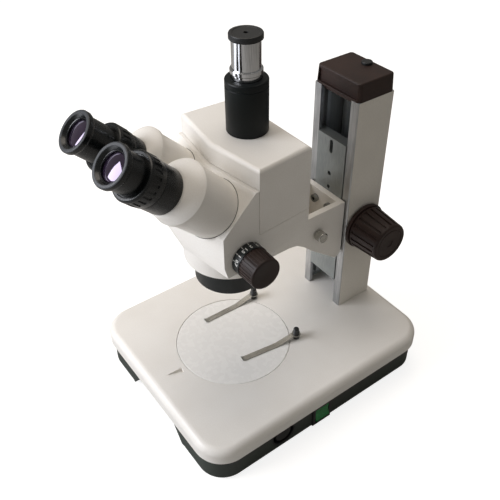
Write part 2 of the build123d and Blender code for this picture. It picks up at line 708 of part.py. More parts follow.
def dimmer_can():
    """Potentiometer body behind the cup."""
    inner = TRAY_SIDE - DIMMER_RECESS_DEPTH
    can = dimmer_hole(DIMMER_CAN_R, inner - DIMMER_CAN_LENGTH, inner)
    can += block(inner - DIMMER_CAN_LENGTH, inner - DIMMER_CAN_LENGTH + 2, DIMMER_Y - 6, DIMMER_Y + 6,
                 DIMMER_Z - DIMMER_CAN_R - 4, DIMMER_Z)
    return can - dimmer_hole(DIMMER_SHAFT_R + RUN_GAP, inner - DIMMER_CAN_LENGTH + 3, inner)


def dimmer_knob():
    """Ribbed dimmer knob with its shaft."""
    inner = TRAY_SIDE - DIMMER_RECESS_DEPTH
    back = inner + DIMMER_WALL + PANEL_GAP
    knob = dimmer_hole(DIMMER_KNOB_R, back, TRAY_SIDE - PANEL_GAP)
    knob = chamfer(knob.edges().group_by(Axis.X)[-1], 0.8)
    for index in range(DIMMER_KNOB_GROOVES):
        angle = 2 * pi * index / DIMMER_KNOB_GROOVES
        y = DIMMER_Y + DIMMER_KNOB_R * cos(angle)
        z = DIMMER_Z + DIMMER_KNOB_R * sin(angle)
        knob -= rod_x(DIMMER_GROOVE_R, back, TRAY_SIDE, y, z)
    return knob + dimmer_hole(DIMMER_SHAFT_R, inner - DIMMER_CAN_LENGTH + 3 + PANEL_GAP, back)


ROCKER_PIVOT_X = TRAY_SIDE - ROCKER_PIVOT_DEPTH


def switch_housing():
    """Snap-in switch body with a flange and a pocket for the rocker."""
    inner = TRAY_SIDE - SWITCH_BODY_DEPTH
    face = TRAY_SIDE + SWITCH_FLANGE_THICK
    body = block(inner, TRAY_SIDE, SWITCH_Y - SWITCH_BODY_W / 2, SWITCH_Y + SWITCH_BODY_W / 2,
                 SWITCH_Z - SWITCH_BODY_H / 2, SWITCH_Z + SWITCH_BODY_H / 2)
    body += block(TRAY_SIDE, face, SWITCH_Y - SWITCH_FLANGE_W / 2, SWITCH_Y + SWITCH_FLANGE_W / 2,
                  SWITCH_Z - SWITCH_FLANGE_H / 2, SWITCH_Z + SWITCH_FLANGE_H / 2)
    body = chamfer(body.edges().group_by(Axis.X)[-1], 0.8)
    half_h = ROCKER_R + PANEL_GAP
    half_w = ROCKER_WIDTH / 2 + PANEL_GAP
    body -= block(ROCKER_PIVOT_X - 6.0, face, SWITCH_Y - half_w, SWITCH_Y + half_w,
                  SWITCH_Z - half_h, SWITCH_Z + half_h)
    return body + rod_y(ROCKER_PIVOT_R, ROCKER_PIVOT_X, SWITCH_Y - half_w, SWITCH_Y + half_w, SWITCH_Z)


def rocker_button():
    """Rocker with a shallow V front, tilted to its off side."""
    outline = [(-ROCKER_BACK, -ROCKER_R), (ROCKER_CREST, -ROCKER_R), (ROCKER_VALLEY, 0),
               (ROCKER_CREST, ROCKER_R), (-ROCKER_BACK, ROCKER_R)]
    face = make_face(Polyline(*outline, close=True)) & Circle(ROCKER_R)
    bar = extrude(Plane.XZ * face, amount=ROCKER_WIDTH / 2, both=True)
    bar -= rod_y(ROCKER_PIVOT_R + RUN_GAP, 0, -ROCKER_WIDTH, ROCKER_WIDTH, 0)
    return Pos(ROCKER_PIVOT_X, SWITCH_Y, SWITCH_Z) * Rot(0, -ROCKER_TILT, 0) * bar


# Pillar

PILLAR_TOP = STAGE_Z + PILLAR_HEIGHT
CHANNEL_HALF_W = PILLAR_HALF_W - PILLAR_WALL
CHANNEL_FRONT = PILLAR_FRONT + FLANGE_THICK
CHANNEL_REAR = PILLAR_REAR - PILLAR_WALL
THROAT_HALF_W = PILLAR_HALF_W - FLANGE_WIDTH
WING_FRONT = CHANNEL_FRONT + RAIL_GAP
WING_REAR = WING_FRONT + WING_THICK
RAIL_FRONT = WING_REAR + RAIL_GAP


def pillar():
    """Extruded channel with screw bosses along its rear wall."""
    column = slab(PILLAR_HALF_W, PILLAR_FRONT, PILLAR_REAR, PILLAR_CORNER_R, STAGE_Z, PILLAR_TOP)
    column -= block(-CHANNEL_HALF_W, CHANNEL_HALF_W, CHANNEL_FRONT, CHANNEL_REAR, STAGE_Z, PILLAR_TOP)
    column -= block(-THROAT_HALF_W, THROAT_HALF_W, PILLAR_FRONT, CHANNEL_FRONT, STAGE_Z, PILLAR_TOP)
    for x, y in pillar_bolt_places():
        column += rod_z(PILLAR_BOSS_R, x, y, STAGE_Z, PILLAR_TOP)
        column -= rod_z(PILLAR_BOLT_R + SCREW_GAP, x, y, STAGE_Z, STAGE_Z + PILLAR_BOLT_LENGTH)
    hole = rod_x(BUSH_R + SCREW_GAP, -PILLAR_HALF_W - 1, PILLAR_HALF_W + 1, SHAFT_Y, SHAFT_Z)
    return column - hole


def pillar_cap():
    """Moulded cap with tapered sides and a sunk front panel under a bowed brow."""
    depth = PILLAR_REAR - PILLAR_FRONT
    middle = (PILLAR_REAR + PILLAR_FRONT) / 2
    outline = RectangleRounded(2 * PILLAR_HALF_W, depth, 3 * CAP_EDGE_R)
    cap = Pos(0, middle, PILLAR_TOP) * extrude(outline, amount=CAP_HEIGHT, taper=CAP_TAPER)
    cap = fillet(cap.edges().group_by(Axis.Z)[-1], CAP_EDGE_R)
    half_w = PILLAR_HALF_W - CAP_PANEL_MARGIN
    brow_side = PILLAR_TOP + CAP_HEIGHT - 2.5
    brow_mid = brow_side - 3.5
    low = PILLAR_TOP + 2.0
    edges = Curve() + Line((-half_w, low), (half_w, low)) + Line((half_w, low), (half_w, brow_side))
    edges += ThreePointArc((half_w, brow_side), (0, brow_mid), (-half_w, brow_side))
    edges += Line((-half_w, brow_side), (-half_w, low))
    panel = Plane.XZ * make_face(edges)
    cap -= Pos(0, PILLAR_FRONT, 0) * extrude(panel, amount=-CAP_PANEL_DEPTH)
    skirt_half_w = CHANNEL_HALF_W - PANEL_GAP
    skirt_rear = pillar_bolt_places()[0][1] - PILLAR_BOSS_R - PANEL_GAP
    return cap + block(-skirt_half_w, skirt_half_w, CHANNEL_FRONT + PANEL_GAP, skirt_rear,
                       PILLAR_TOP - CAP_SKIRT, PILLAR_TOP)


def cap_plug():
    """Small round plug in the cap's top."""
    y = PILLAR_REAR - CAP_PLUG_FROM_REAR
    top = PILLAR_TOP + CAP_HEIGHT
    plug = rod_z(CAP_PLUG_R, 0, y, top, top + CAP_PLUG_HEIGHT)
    return fillet(plug.edges().group_by(Axis.Z)[-1], 0.8)


def guide_rails():
    """Two strips on the channel's side walls that the slide's wings run against."""
    rail = block(CHANNEL_HALF_W - RAIL_WIDTH, CHANNEL_HALF_W, RAIL_FRONT, RAIL_FRONT + RAIL_THICK,
                 STAGE_Z + RAIL_END_GAP, PILLAR_TOP - RAIL_END_GAP)
    return both_sides(rail)


def shaft_bushes():
    """Flanged bushes for the focus shaft in the pillar's side walls."""
    bush = rod_x(BUSH_R, CHANNEL_HALF_W, PILLAR_HALF_W, SHAFT_Y, SHAFT_Z)
    bush += rod_x(BUSH_FLANGE_R, PILLAR_HALF_W, PILLAR_HALF_W + BUSH_FLANGE_THICK, SHAFT_Y, SHAFT_Z)
    bush -= rod_x(SHAFT_R + RUN_GAP, 0, PILLAR_HALF_W + 5, SHAFT_Y, SHAFT_Z)
    return both_sides(bush)


# Focus slide

FOCUS_PITCH_R = FOCUS_MODULE * GEAR_TEETH / 2
RACK_LINE_Y = SHAFT_Y - FOCUS_PITCH_R - RUN_GAP


def slide_plate():
    """Grey slide: a face between the pillar's flanges and two wings behind them."""
    plate = block(-SLIDE_HALF_W, SLIDE_HALF_W, SLIDE_FRONT, WING_FRONT, SLIDE_BOTTOM, SLIDE_TOP)
    wing = CHANNEL_HALF_W - WING_SIDE_GAP
    plate += block(-wing, wing, WING_FRONT, WING_REAR, SLIDE_BOTTOM, SLIDE_TOP)
    slot_high = SLIDE_TOP - SLOT_MARGIN - SLOT_R
    slot_low = slot_high - SLOT_LENGTH
    for z in (slot_high, slot_low):
        plate -= rod_y(SLOT_R, 0, SLIDE_FRONT, WING_FRONT + SLOT_R, z)
    plate -= block(-SLOT_R, SLOT_R, SLIDE_FRONT, WING_FRONT + SLOT_R, slot_low, slot_high)
    for r, below_top in SLIDE_HOLES:
        plate -= rod_y(r, 0, SLIDE_FRONT, WING_FRONT, SLIDE_TOP - below_top)
    for x, z in ARM_SCREW_PLACES:
        plate -= rod_y(ARM_SCREW_R + SCREW_GAP, x, SLIDE_FRONT, SLIDE_FRONT + ARM_SCREW_REACH + 1, z)
    return plate


def focus_rack():
    """Toothed strip on the slide's back."""
    pitch = pi * FOCUS_MODULE
    first = -int(SLIDE_UP / pitch) - 3
    last = int(SLIDE_DOWN / pitch) + 3
    outline = rack_outline(FOCUS_MODULE, first, last, RACK_LINE_Y - WING_REAR)
    return Pos(0, RACK_LINE_Y, SHAFT_Z) * prism_x(outline, FOCUS_RACK_HALF_W)


def pinion_shaft():
    """Cross shaft with the pinion cut on its middle."""
    face = Plane.YZ * make_face(Polyline(*pinion_outline(FOCUS_MODULE, pi), close=True))
    pinion = extrude(face, amount=FOCUS_PINION_HALF_W, both=True)
    shaft = Pos(0, SHAFT_Y, SHAFT_Z) * pinion
    reach = KNOB_START + KNOB_FLANGE_THICK + KNOB_NECK + KNOB_LENGTH - 6.0
    return shaft + rod_x(SHAFT_R, -reach, reach, SHAFT_Y, SHAFT_Z)


def focus_knob():
    """Right focus knob: thin flange, tapered fluted grip and a flat end with a ring."""
    flange_end = KNOB_FLANGE_THICK
    grip_start = flange_end + KNOB_NECK
    end = grip_start + KNOB_LENGTH
    knob = turned([(0, 0), (KNOB_FLANGE_R - 0.8, 0), (KNOB_FLANGE_R, 0.8), (KNOB_FLANGE_R, flange_end),
                   (KNOB_NECK_R, flange_end), (KNOB_NECK_R, grip_start), (KNOB_LARGE_R, grip_start),
                   (KNOB_SMALL_R + 0.1, end - 1.6), (KNOB_SMALL_R - 1.5, end),
                   (KNOB_RING_R, end), (KNOB_RING_R, end - KNOB_RING_DEPTH),
                   (KNOB_RING_R - KNOB_RING_WIDTH, end - KNOB_RING_DEPTH),
                   (KNOB_RING_R - KNOB_RING_WIDTH, end), (0, end)])
    lean = (KNOB_LARGE_R - KNOB_SMALL_R) / KNOB_LENGTH
    flute_length = KNOB_LENGTH - 4.0
    for index in range(KNOB_FLUTES):
        flute = Cylinder(KNOB_FLUTE_R, flute_length + 4.0)
        flute = Rot(0, -lean * 180 / pi, 0) * flute
        middle_r = (KNOB_LARGE_R + KNOB_SMALL_R) / 2 + KNOB_FLUTE_R * 0.55
        flute = Pos(middle_r, 0, grip_start + flute_length / 2 - 1.0) * flute
        flute = flute & rod_z(2 * KNOB_LARGE_R, 0, 0, grip_start, end)
        knob -= Rot(0, 0, 360 * index / KNOB_FLUTES) * flute
    knob -= rod_z(SHAFT_R + 0.02, 0, 0, 0, end - 6.0)
    return Pos(KNOB_START, SHAFT_Y, SHAFT_Z) * Rot(0, 90, 0) * knob


# Arm

def arm_points():
    """Side outline of the arm, from the heel at the slide to the ring."""
    rise = ARM_UNDERSIDE - ARM_TOE
    front = RING_BORE_R - 9.0
    return [(SLIDE_FRONT, ARM_TOP), (SLIDE_FRONT, ARM_HEEL), (SLIDE_FRONT - 5.7, ARM_TOE),
            (81.0, ARM_TOE + 0.61 * rise), (72.0, ARM_TOE + 0.81 * rise), (62.0, ARM_TOE + 0.965 * rise),
            (53.0, ARM_UNDERSIDE), (front, ARM_UNDERSIDE), (front, ARM_TOP)]


def arm_bracket():
    """Cast arm: open-topped box on the slide with the ring at its front."""
    points = arm_points()
    radii = [0, 3, 4, 14, 12, 10, 8, 0, 0]
    side = make_face(FilletPolyline(*points, radius=radii, close=True))
    arm = extrude(Plane.YZ * side, amount=ARM_HALF_W, both=True)
    arm += rod_z(RING_OUTER_R, 0, 0, RING_BOTTOM, RING_TOP)
    wall = ARM_WALL
    cavity = [(SLIDE_FRONT - wall, ARM_TOP + 1), (SLIDE_FRONT - wall, ARM_HEEL + wall),
              (79.0, ARM_TOE + 0.61 * (ARM_UNDERSIDE - ARM_TOE) + 1.5 * wall),
              (66.0, ARM_UNDERSIDE + wall * 0.9), (ARM_CAVITY_FRONT, ARM_UNDERSIDE + wall),
              (ARM_CAVITY_FRONT, ARM_TOP + 1)]
    arm -= prism_x(cavity, ARM_HALF_W - wall)
    arm -= rod_z(RING_BORE_R, 0, 0, ARM_TOE, RING_TOP)
    for x, z in ARM_SCREW_PLACES:
        arm -= rod_y(ARM_SCREW_R + SCREW_GAP, x, SLIDE_FRONT - wall - 1, SLIDE_FRONT + 1, z)
    return arm - rod_x(LOCK_SHANK_R + SCREW_GAP, ARM_HALF_W - wall - 1, ARM_HALF_W + 1, LOCK_Y, LOCK_Z)


def bracket_screws():
    """Socket screws that hold the arm to the slide."""
    screws = []
    face = SLIDE_FRONT - ARM_WALL
    for x, z in ARM_SCREW_PLACES:
        screw = rod_y(ARM_SCREW_HEAD_R, x, face - ARM_SCREW_HEAD_LENGTH, face, z)
        screw -= rod_y(2.0, x, face - ARM_SCREW_HEAD_LENGTH, face - 1.5, z)
        screws.append(screw + rod_y(ARM_SCREW_R, x, face, SLIDE_FRONT + ARM_SCREW_REACH, z))
    return Compound(children=screws)


def lock_screw():
    """Plated thumbscrew in the arm's right wall."""
    end = ARM_HALF_W + LOCK_HEAD_LENGTH
    head = rod_x(LOCK_HEAD_R, ARM_HALF_W + 1.5, end, LOCK_Y, LOCK_Z)
    head = chamfer(head.edges().group_by(Axis.X)[-1], 0.8)
    head += rod_x(LOCK_SHANK_R + 1, ARM_HALF_W + SCREW_GAP, ARM_HALF_W + 1.5, LOCK_Y, LOCK_Z)
    return head + rod_x(LOCK_SHANK_R, ARM_HALF_W - ARM_WALL - LOCK_REACH, ARM_HALF_W + 1, LOCK_Y, LOCK_Z)


# Head

VEE_NORMAL = (sin(radians(HEAD_VEE)), -cos(radians(HEAD_VEE)))


def vee_plane(side, x, y, z, lean, inset):
    """Plane through a point, turned outwards by the V and leaning from the horizontal."""
    up, out = cos(radians(lean)), sin(radians(lean))
    normal = (side * VEE_NORMAL[0] * out, VEE_NORMAL[1] * out, up)
    spot = Vector(side * x, y, z) - Vector(*normal) * inset
    return Plane(origin=spot, z_dir=normal)


def slant_plane(side, inset=0.0):
    """Leaning face that carries a drum."""
    return vee_plane(side, HEAD_HALF_W, HEAD_FRONT_SIDE, HEAD_SHOULDER, HEAD_TILT, inset)


def head_plan(grow):
    """Plan outline of the main body, grown or shrunk by a wall."""
    side, rear_side = HEAD_HALF_W + grow, HEAD_REAR_HALF_W + grow
    return [(0, HEAD_FRONT_MID - grow), (side, HEAD_FRONT_SIDE - grow), (side, COVER_SEAM_Y),
            (rear_side, HEAD_REAR + grow), (-rear_side, HEAD_REAR + grow), (-side, COVER_SEAM_Y),
            (-side, HEAD_FRONT_SIDE - grow)]


def cover_plan(grow):
    """Plan outline of the upper cover, grown or shrunk by a wall."""
    side, rear_side = HEAD_HALF_W + grow, HEAD_REAR_HALF_W + grow
    return [(0, COVER_FRONT_MID - grow), (side, COVER_FRONT_SIDE - grow),
            (rear_side, HEAD_REAR + grow), (-rear_side, HEAD_REAR + grow), (-side, COVER_FRONT_SIDE - grow)]


def bottom_plane(inset=0.0):
    """Underside of the head, which falls slightly towards the front."""
    slope = radians(HEAD_BOTTOM_SLOPE)
    spot = (0, HEAD_REAR, HEAD_BOTTOM + inset)
    return Plane(origin=spot, z_dir=(0, sin(slope), -cos(slope)))


HEAD_LOWEST = HEAD_BOTTOM - 20.0


def main_body():
    """Cast lower shell of the head with the barrel that turns in the arm's ring."""
    body = prism_z(head_plan(0.0), HEAD_LOWEST, COVER_SILL)
    wall = HEAD_WALL
    hollow = prism_z(head_plan(-wall), HEAD_LOWEST, COVER_SILL + 1)
    for side in SIDES.values():
        body -= beyond(slant_plane(side))
        hollow -= beyond(slant_plane(side, wall))
        nose = vee_plane(side, HEAD_HALF_W, HEAD_FRONT_SIDE, HEAD_NOSE_SEAM, 90 + HEAD_NOSE_LEAN, 0.0)
        body -= beyond(nose) & block(-TRIM, TRIM, -TRIM, 0, HEAD_LOWEST, HEAD_NOSE_SEAM)
        lean = vee_plane(side, HEAD_HALF_W, HEAD_FRONT_SIDE, HEAD_NOSE_SEAM, 90 + HEAD_NOSE_LEAN, wall)
        hollow -= beyond(lean) & block(-TRIM, TRIM, -TRIM, 0, HEAD_LOWEST, HEAD_NOSE_SEAM)
    body -= beyond(bottom_plane())
    hollow -= beyond(bottom_plane(wall))
    keep_front = block(-TRIM, TRIM, -TRIM, COVER_SEAM_Y - wall, HEAD_LOWEST, COVER_SILL - wall)
    keep_rear = block(-TRIM, TRIM, COVER_SEAM_Y - wall, TRIM, HEAD_LOWEST, TRIM)
    hollow = (hollow & keep_front) + (hollow & keep_rear)
    body -= block(-TRIM, TRIM, COVER_SEAM_Y, TRIM, COVER_SEAM_Z, TRIM)
    for side in SIDES.values():
        lug_x = side * COVER_SCREW_X
        hollow -= block(lug_x - LUG_HALF_W, lug_x + LUG_HALF_W, HEAD_REAR - wall - LUG_THICK,
                        HEAD_REAR, COVER_SEAM_Z - 10, COVER_SCREW_Z + LUG_HALF_W)
        body += block(lug_x - LUG_HALF_W, lug_x + LUG_HALF_W, HEAD_REAR - wall - LUG_THICK,
                      HEAD_REAR - wall, COVER_SEAM_Z - 10, COVER_SCREW_Z + LUG_HALF_W)
    body -= hollow
    barrel_top = HEAD_BOTTOM + wall
    barrel = rod_z(RING_BORE_R - RUN_GAP, 0, 0, RING_BOTTOM, barrel_top)
    barrel += rod_z(BARREL_FLANGE_R, 0, 0, RING_TOP, barrel_top)
    barrel -= beyond(Plane(origin=bottom_plane(wall).origin, z_dir=-bottom_plane(wall).z_dir))
    body += barrel
    body -= rod_z(BARREL_BORE_R, 0, 0, RING_BOTTOM, barrel_top + 20)
    for side in SIDES.values():
        body -= eye_frame(side) * Pos(0, 0, -10) * Cylinder(DRUM_BORE_R - 5, 40)
        lug_x = side * COVER_SCREW_X
        body -= rod_y(COVER_SCREW_R + SCREW_GAP, lug_x, HEAD_REAR - 12, HEAD_REAR + 1, COVER_SCREW_Z)
        body -= rod_z(ROD_R + SCREW_GAP, side * ROD_X, 0, HEAD_BOTTOM - 2, HEAD_BOTTOM + 10)
    return body - rod_x(ZOOM_SHAFT_R + RUN_GAP, -TRIM, TRIM, ZOOM_Y, ZOOM_Z)


def upper_cover():
    """Painted upper shell of the head, rounded along its top."""
    shell = prism_z(cover_plan(0.0), COVER_SEAM_Z + SEAM_GAP, COVER_TOP)
    shell = fillet(shell.edges().group_by(Axis.Z)[-1], COVER_ROUND_R)
    hollow = prism_z(cover_plan(-COVER_WALL), COVER_SEAM_Z, COVER_TOP - COVER_WALL)
    shell -= hollow
    shell -= block(-TRIM, TRIM, -TRIM, COVER_SEAM_Y + SEAM_GAP, 0, COVER_SILL + SEAM_GAP)
    inner = HEAD_REAR_HALF_W - COVER_WALL
    shell -= block(-inner, inner, -TRIM, COVER_SEAM_Y + COVER_WALL, 0, COVER_SILL + SEAM_GAP)
    shell -= rod_z(PHOTO_SPIGOT_R + SCREW_GAP, 0, PHOTO_Y, COVER_SILL, COVER_TOP + 1)
    for side in SIDES.values():
        shell -= rod_y(COVER_SCREW_R + SCREW_GAP, side * COVER_SCREW_X, HEAD_REAR - 10,
                       HEAD_REAR + 1, COVER_SCREW_Z)
    return shell


def cover_screws():
    """Two screws through the upper cover's rear into the main body."""
    screw = rod_y(COVER_SCREW_HEAD_R, COVER_SCREW_X, HEAD_REAR, HEAD_REAR + 1.8, COVER_SCREW_Z)
    screw = fillet(screw.edges().group_by(Axis.Y)[-1], 0.8)
    screw += rod_y(COVER_SCREW_R, COVER_SCREW_X, HEAD_REAR - 8, HEAD_REAR, COVER_SCREW_Z)
    return both_sides(screw)


def objective_shroud():
    """Black ring below the head with a thread for a close-up lens and a web for the lenses."""
    neck_r = BARREL_BORE_R - SCREW_GAP
    top = RING_BOTTOM + SHROUD_NECK_LENGTH
    thread_top = SHROUD_BOTTOM + SHROUD_THREAD_LENGTH
    shroud = turned([(SHROUD_THREAD_R, SHROUD_BOTTOM), (SHROUD_R - 0.8, SHROUD_BOTTOM),
                     (SHROUD_R, SHROUD_BOTTOM + 0.8), (SHROUD_R, RING_BOTTOM), (neck_r, RING_BOTTOM),
                     (neck_r, top), (SHROUD_BORE_R, top), (SHROUD_BORE_R, thread_top),
                     (SHROUD_THREAD_R, thread_top)])
    web = rod_z(SHROUD_BORE_R, 0, 0, OBJECTIVE_WEB_Z, OBJECTIVE_WEB_Z + OBJECTIVE_WEB_THICK)
    for side in SIDES.values():
        web -= rod_z(OBJECTIVE_LENS_R + 0.02, side * OBJECTIVE_LENS_X, 0, OBJECTIVE_WEB_Z,
                     OBJECTIVE_WEB_Z + OBJECTIVE_WEB_THICK)
    return shroud + web


def lens(r, thick, bulge):
    """Round lens, both faces curved, standing on zero."""
    ball_r = (r * r + bulge * bulge) / (2 * bulge)
    low = Pos(0, 0, ball_r - bulge) * Sphere(ball_r)
    high = Pos(0, 0, thick - ball_r + bulge) * Sphere(ball_r)
    return rod_z(r, 0, 0, -bulge, thick + bulge) & low & high


def objective_lenses():
    """Two objective lenses seated in the shroud's web."""
    glass = Pos(OBJECTIVE_LENS_X, 0, OBJECTIVE_WEB_Z) * lens(OBJECTIVE_LENS_R, OBJECTIVE_WEB_THICK, 1.2)
    return both_sides(glass)


def guide_rods():
    """Two rods that carry the zoom lens carrier."""
    return both_sides(rod_z(ROD_R, ROD_X, 0, HEAD_BOTTOM, ROD_TOP))


def beam_splitter():
    """Glass cube below the camera tube."""
    half = SPLITTER_SIZE / 2
    top = COVER_TOP - PHOTO_SPIGOT_LENGTH
    cube = block(-half, half, PHOTO_Y - half, PHOTO_Y + half, top - SPLITTER_SIZE, top)
    return chamfer(cube.edges(), 0.5)


def zoom_shaft():
    """Cross shaft with the small pinion of the zoom."""
    face = Plane.YZ * make_face(Polyline(*pinion_outline(ZOOM_MODULE, 0.0), close=True))
    pinion = extrude(face, amount=ZOOM_PINION_HALF_W, both=True)
    shaft = Pos(0, ZOOM_Y, ZOOM_Z) * pinion
    reach = HEAD_HALF_W + DIAL_GAP + DIAL_LENGTH + ZOOM_KNOB_LENGTH - 5.0
    return shaft + rod_x(ZOOM_SHAFT_R, -reach, reach, ZOOM_Y, ZOOM_Z)


DIAL_START = HEAD_HALF_W + DIAL_GAP
ZOOM_KNOB_START = DIAL_START + DIAL_LENGTH


def zoom_dials():
    """Two black dials beside the head."""
    dial = rod_x(DIAL_R, DIAL_START, ZOOM_KNOB_START, ZOOM_Y, ZOOM_Z)
    dial = chamfer(dial.edges().group_by(Axis.X)[0], 0.6)
    dial -= rod_x(ZOOM_SHAFT_R + 0.02, DIAL_START, ZOOM_KNOB_START, ZOOM_Y, ZOOM_Z)
    return both_sides(dial)


def zoom_knobs():
    """Two ribbed zoom knobs."""
    end = ZOOM_KNOB_LENGTH
    knob = turned([(0, 0), (ZOOM_KNOB_R, 0), (ZOOM_KNOB_END_R, end - 1.2), (ZOOM_KNOB_END_R - 1.2, end),
                   (0, end)])
    for index in range(ZOOM_KNOB_RIBS):
        groove = Pos(ZOOM_KNOB_R + 0.1, 0, (end - 1.5) / 2 + 0.8) * Cylinder(ZOOM_RIB_R, end - 3.0)
        knob -= Rot(0, 0, 360 * index / ZOOM_KNOB_RIBS) * groove
    knob -= rod_z(ZOOM_SHAFT_R + 0.02, 0, 0, 0, end - 5.0)
    return both_sides(Pos(ZOOM_KNOB_START, ZOOM_Y, ZOOM_Z) * Rot(0, 90, 0) * knob)


ZOOM_PITCH_R = ZOOM_MODULE * GEAR_TEETH / 2


def zoom_carrier():
    """Lens carrier on the guide rods with a rack for the zoom pinion."""
    top = CARRIER_BOTTOM + CARRIER_THICK
    plate = block(-CARRIER_HALF_W, CARRIER_HALF_W, -CARRIER_HALF_D, CARRIER_HALF_D, CARRIER_BOTTOM, top)
    rack_line = ZOOM_Y + ZOOM_PITCH_R + RUN_GAP
    pitch = pi * ZOOM_MODULE
    outline = rack_outline(ZOOM_MODULE, -int(ZOOM_TRAVEL / pitch) - 2, 4, -CARRIER_HALF_D - rack_line)
    flipped = [(rack_line - u, ZOOM_Z + v) for u, v in outline]
    plate += prism_x(flipped, ZOOM_PINION_HALF_W - 0.5)
    plate += block(-ZOOM_PINION_HALF_W, ZOOM_PINION_HALF_W, -CARRIER_HALF_D, -CARRIER_HALF_D + 3,
                   ZOOM_Z + outline[0][1], top)
    for side in SIDES.values():
        plate -= rod_z(CARRIER_LENS_R + 0.02, side * CARRIER_LENS_X, 0, CARRIER_BOTTOM, top)
        plate -= rod_z(ROD_R + RUN_GAP, side * ROD_X, 0, CARRIER_BOTTOM, top)
    return plate


def zoom_lenses():
    """Two lenses in the carrier."""
    glass = Pos(CARRIER_LENS_X, 0, CARRIER_BOTTOM + 2.5) * lens(CARRIER_LENS_R, 5.0, 1.0)
    return both_sides(glass)


# Binocular

def eye_frame(side):
    """Local frame of one optical side: Z along the drum, X to the right, origin at its foot."""
    spread, tilt = radians(DRUM_SPREAD), radians(HEAD_TILT)
    axis = (side * sin(spread) * cos(tilt), -cos(spread) * cos(tilt), sin(tilt))
    across = (cos(spread), side * sin(spread), 0)
    plane = slant_plane(side)
    foot = Vector(side * DRUM_X, DRUM_FOOT_Y, 0)
    drop = (plane.origin - foot).dot(plane.z_dir) / plane.z_dir.Z
    return Plane(origin=foot + Vector(0, 0, drop), x_dir=across, z_dir=axis).location


def eye_axis(side):
    """Offset of the eye tube from the drum's axis, inwards and down the slope."""
    return Pos(-side * EYE_IN, -EYE_DOWN, 0)


def drum(side):
    """Fixed drum on the leaning face."""
    shape = eye_frame(side) * Pos(0, 0, DRUM_LENGTH / 2 - 5) * Cylinder(DRUM_R, DRUM_LENGTH + 10)
    shape -= eye_frame(side) * Cylinder(DRUM_BORE_R, 3 * DRUM_LENGTH)
    face = slant_plane(side)
    return shape - beyond(Plane(origin=face.origin, z_dir=-face.z_dir))


def prism_housing(side):
    """Turning prism housing: rim on the drum, dome that leans over to the eye tube."""
    start = DRUM_LENGTH + HOUSING_GAP
    rim_top = start + HOUSING_RIM
    rise = HOUSING_FRONT - rim_top
    shell = Pos(0, 0, start) * extrude(Circle(HOUSING_R), amount=HOUSING_RIM)
    sections = [Pos(0, 0, rim_top) * Circle(HOUSING_R)]
    for up, out, over in ((0.45, 0.12, 0.12), (0.8, 0.45, 0.45), (1.0, 1.0, 1.0)):
        r = HOUSING_R + (HOUSING_FACE_R - HOUSING_R) * out
        place = Pos(-side * EYE_IN * over, -EYE_DOWN * over, rim_top + rise * up)
        sections.append(place * Circle(r))
    shell += loft(sections)
    shell += Pos(0, 0, start - HOUSING_SPIGOT) * extrude(Circle(DRUM_BORE_R - RUN_GAP),
                                                         amount=HOUSING_SPIGOT)
    depth = HOUSING_FRONT - 5.0 - start + HOUSING_SPIGOT
    shell -= Pos(0, 0, start - HOUSING_SPIGOT) * extrude(Circle(HOUSING_BORE_R), amount=depth)
    shell -= eye_axis(side) * Pos(0, 0, HOUSING_FRONT) * Cylinder(EYEPIECE_BORE_R, 30)
    return eye_frame(side) * shell


def prism(side):
    """Roof prism hung below the housing's front wall."""
    top = HOUSING_FRONT - 5.0
    place = Pos(0, 0, top - PRISM_HEIGHT / 2)
    glass = place * Box(PRISM_WIDTH, PRISM_DEPTH, PRISM_HEIGHT)
    return eye_frame(side) * chamfer(glass.edges().filter_by(Axis.Z), 1.0)


def eye_tube(side_name):
    """Eye tube: smooth collar and the sleeve that takes the eyepiece."""
    side = SIDES[side_name]
    collar_end = EYE_LENGTH - DIOPTER_START[side_name] - DIOPTER_LENGTH - PANEL_GAP
    sleeve_end = EYE_LENGTH - SLEEVE_END - RUN_GAP
    tube = turned([(SLEEVE_BORE_R, HOUSING_FRONT), (COLLAR_R, HOUSING_FRONT), (COLLAR_R, collar_end - 0.8),
                   (COLLAR_R - 0.8, collar_end), (SLEEVE_R, collar_end), (SLEEVE_R, sleeve_end),
                   (SLEEVE_BORE_R, sleeve_end)])
    return eye_frame(side) * eye_axis(side) * tube


def diopter_ring(side_name):
    """Fluted ring round the sleeve."""
    side = SIDES[side_name]
    end = EYE_LENGTH - DIOPTER_START[side_name]
    start = end - DIOPTER_LENGTH
    bore = SLEEVE_R + RUN_GAP
    ring = turned([(bore, start), (DIOPTER_R - 1, start), (DIOPTER_R, start + 1), (DIOPTER_R, end - 1),
                   (DIOPTER_R - 1, end), (bore, end)])
    for index in range(DIOPTER_FLUTES):
        flute = Pos(DIOPTER_R + 0.5, 0, (start + end) / 2) * Cylinder(DIOPTER_FLUTE_R, DIOPTER_LENGTH - 5)
        ring -= Rot(0, 0, 360 * index / DIOPTER_FLUTES) * flute
    return eye_frame(side) * eye_axis(side) * ring


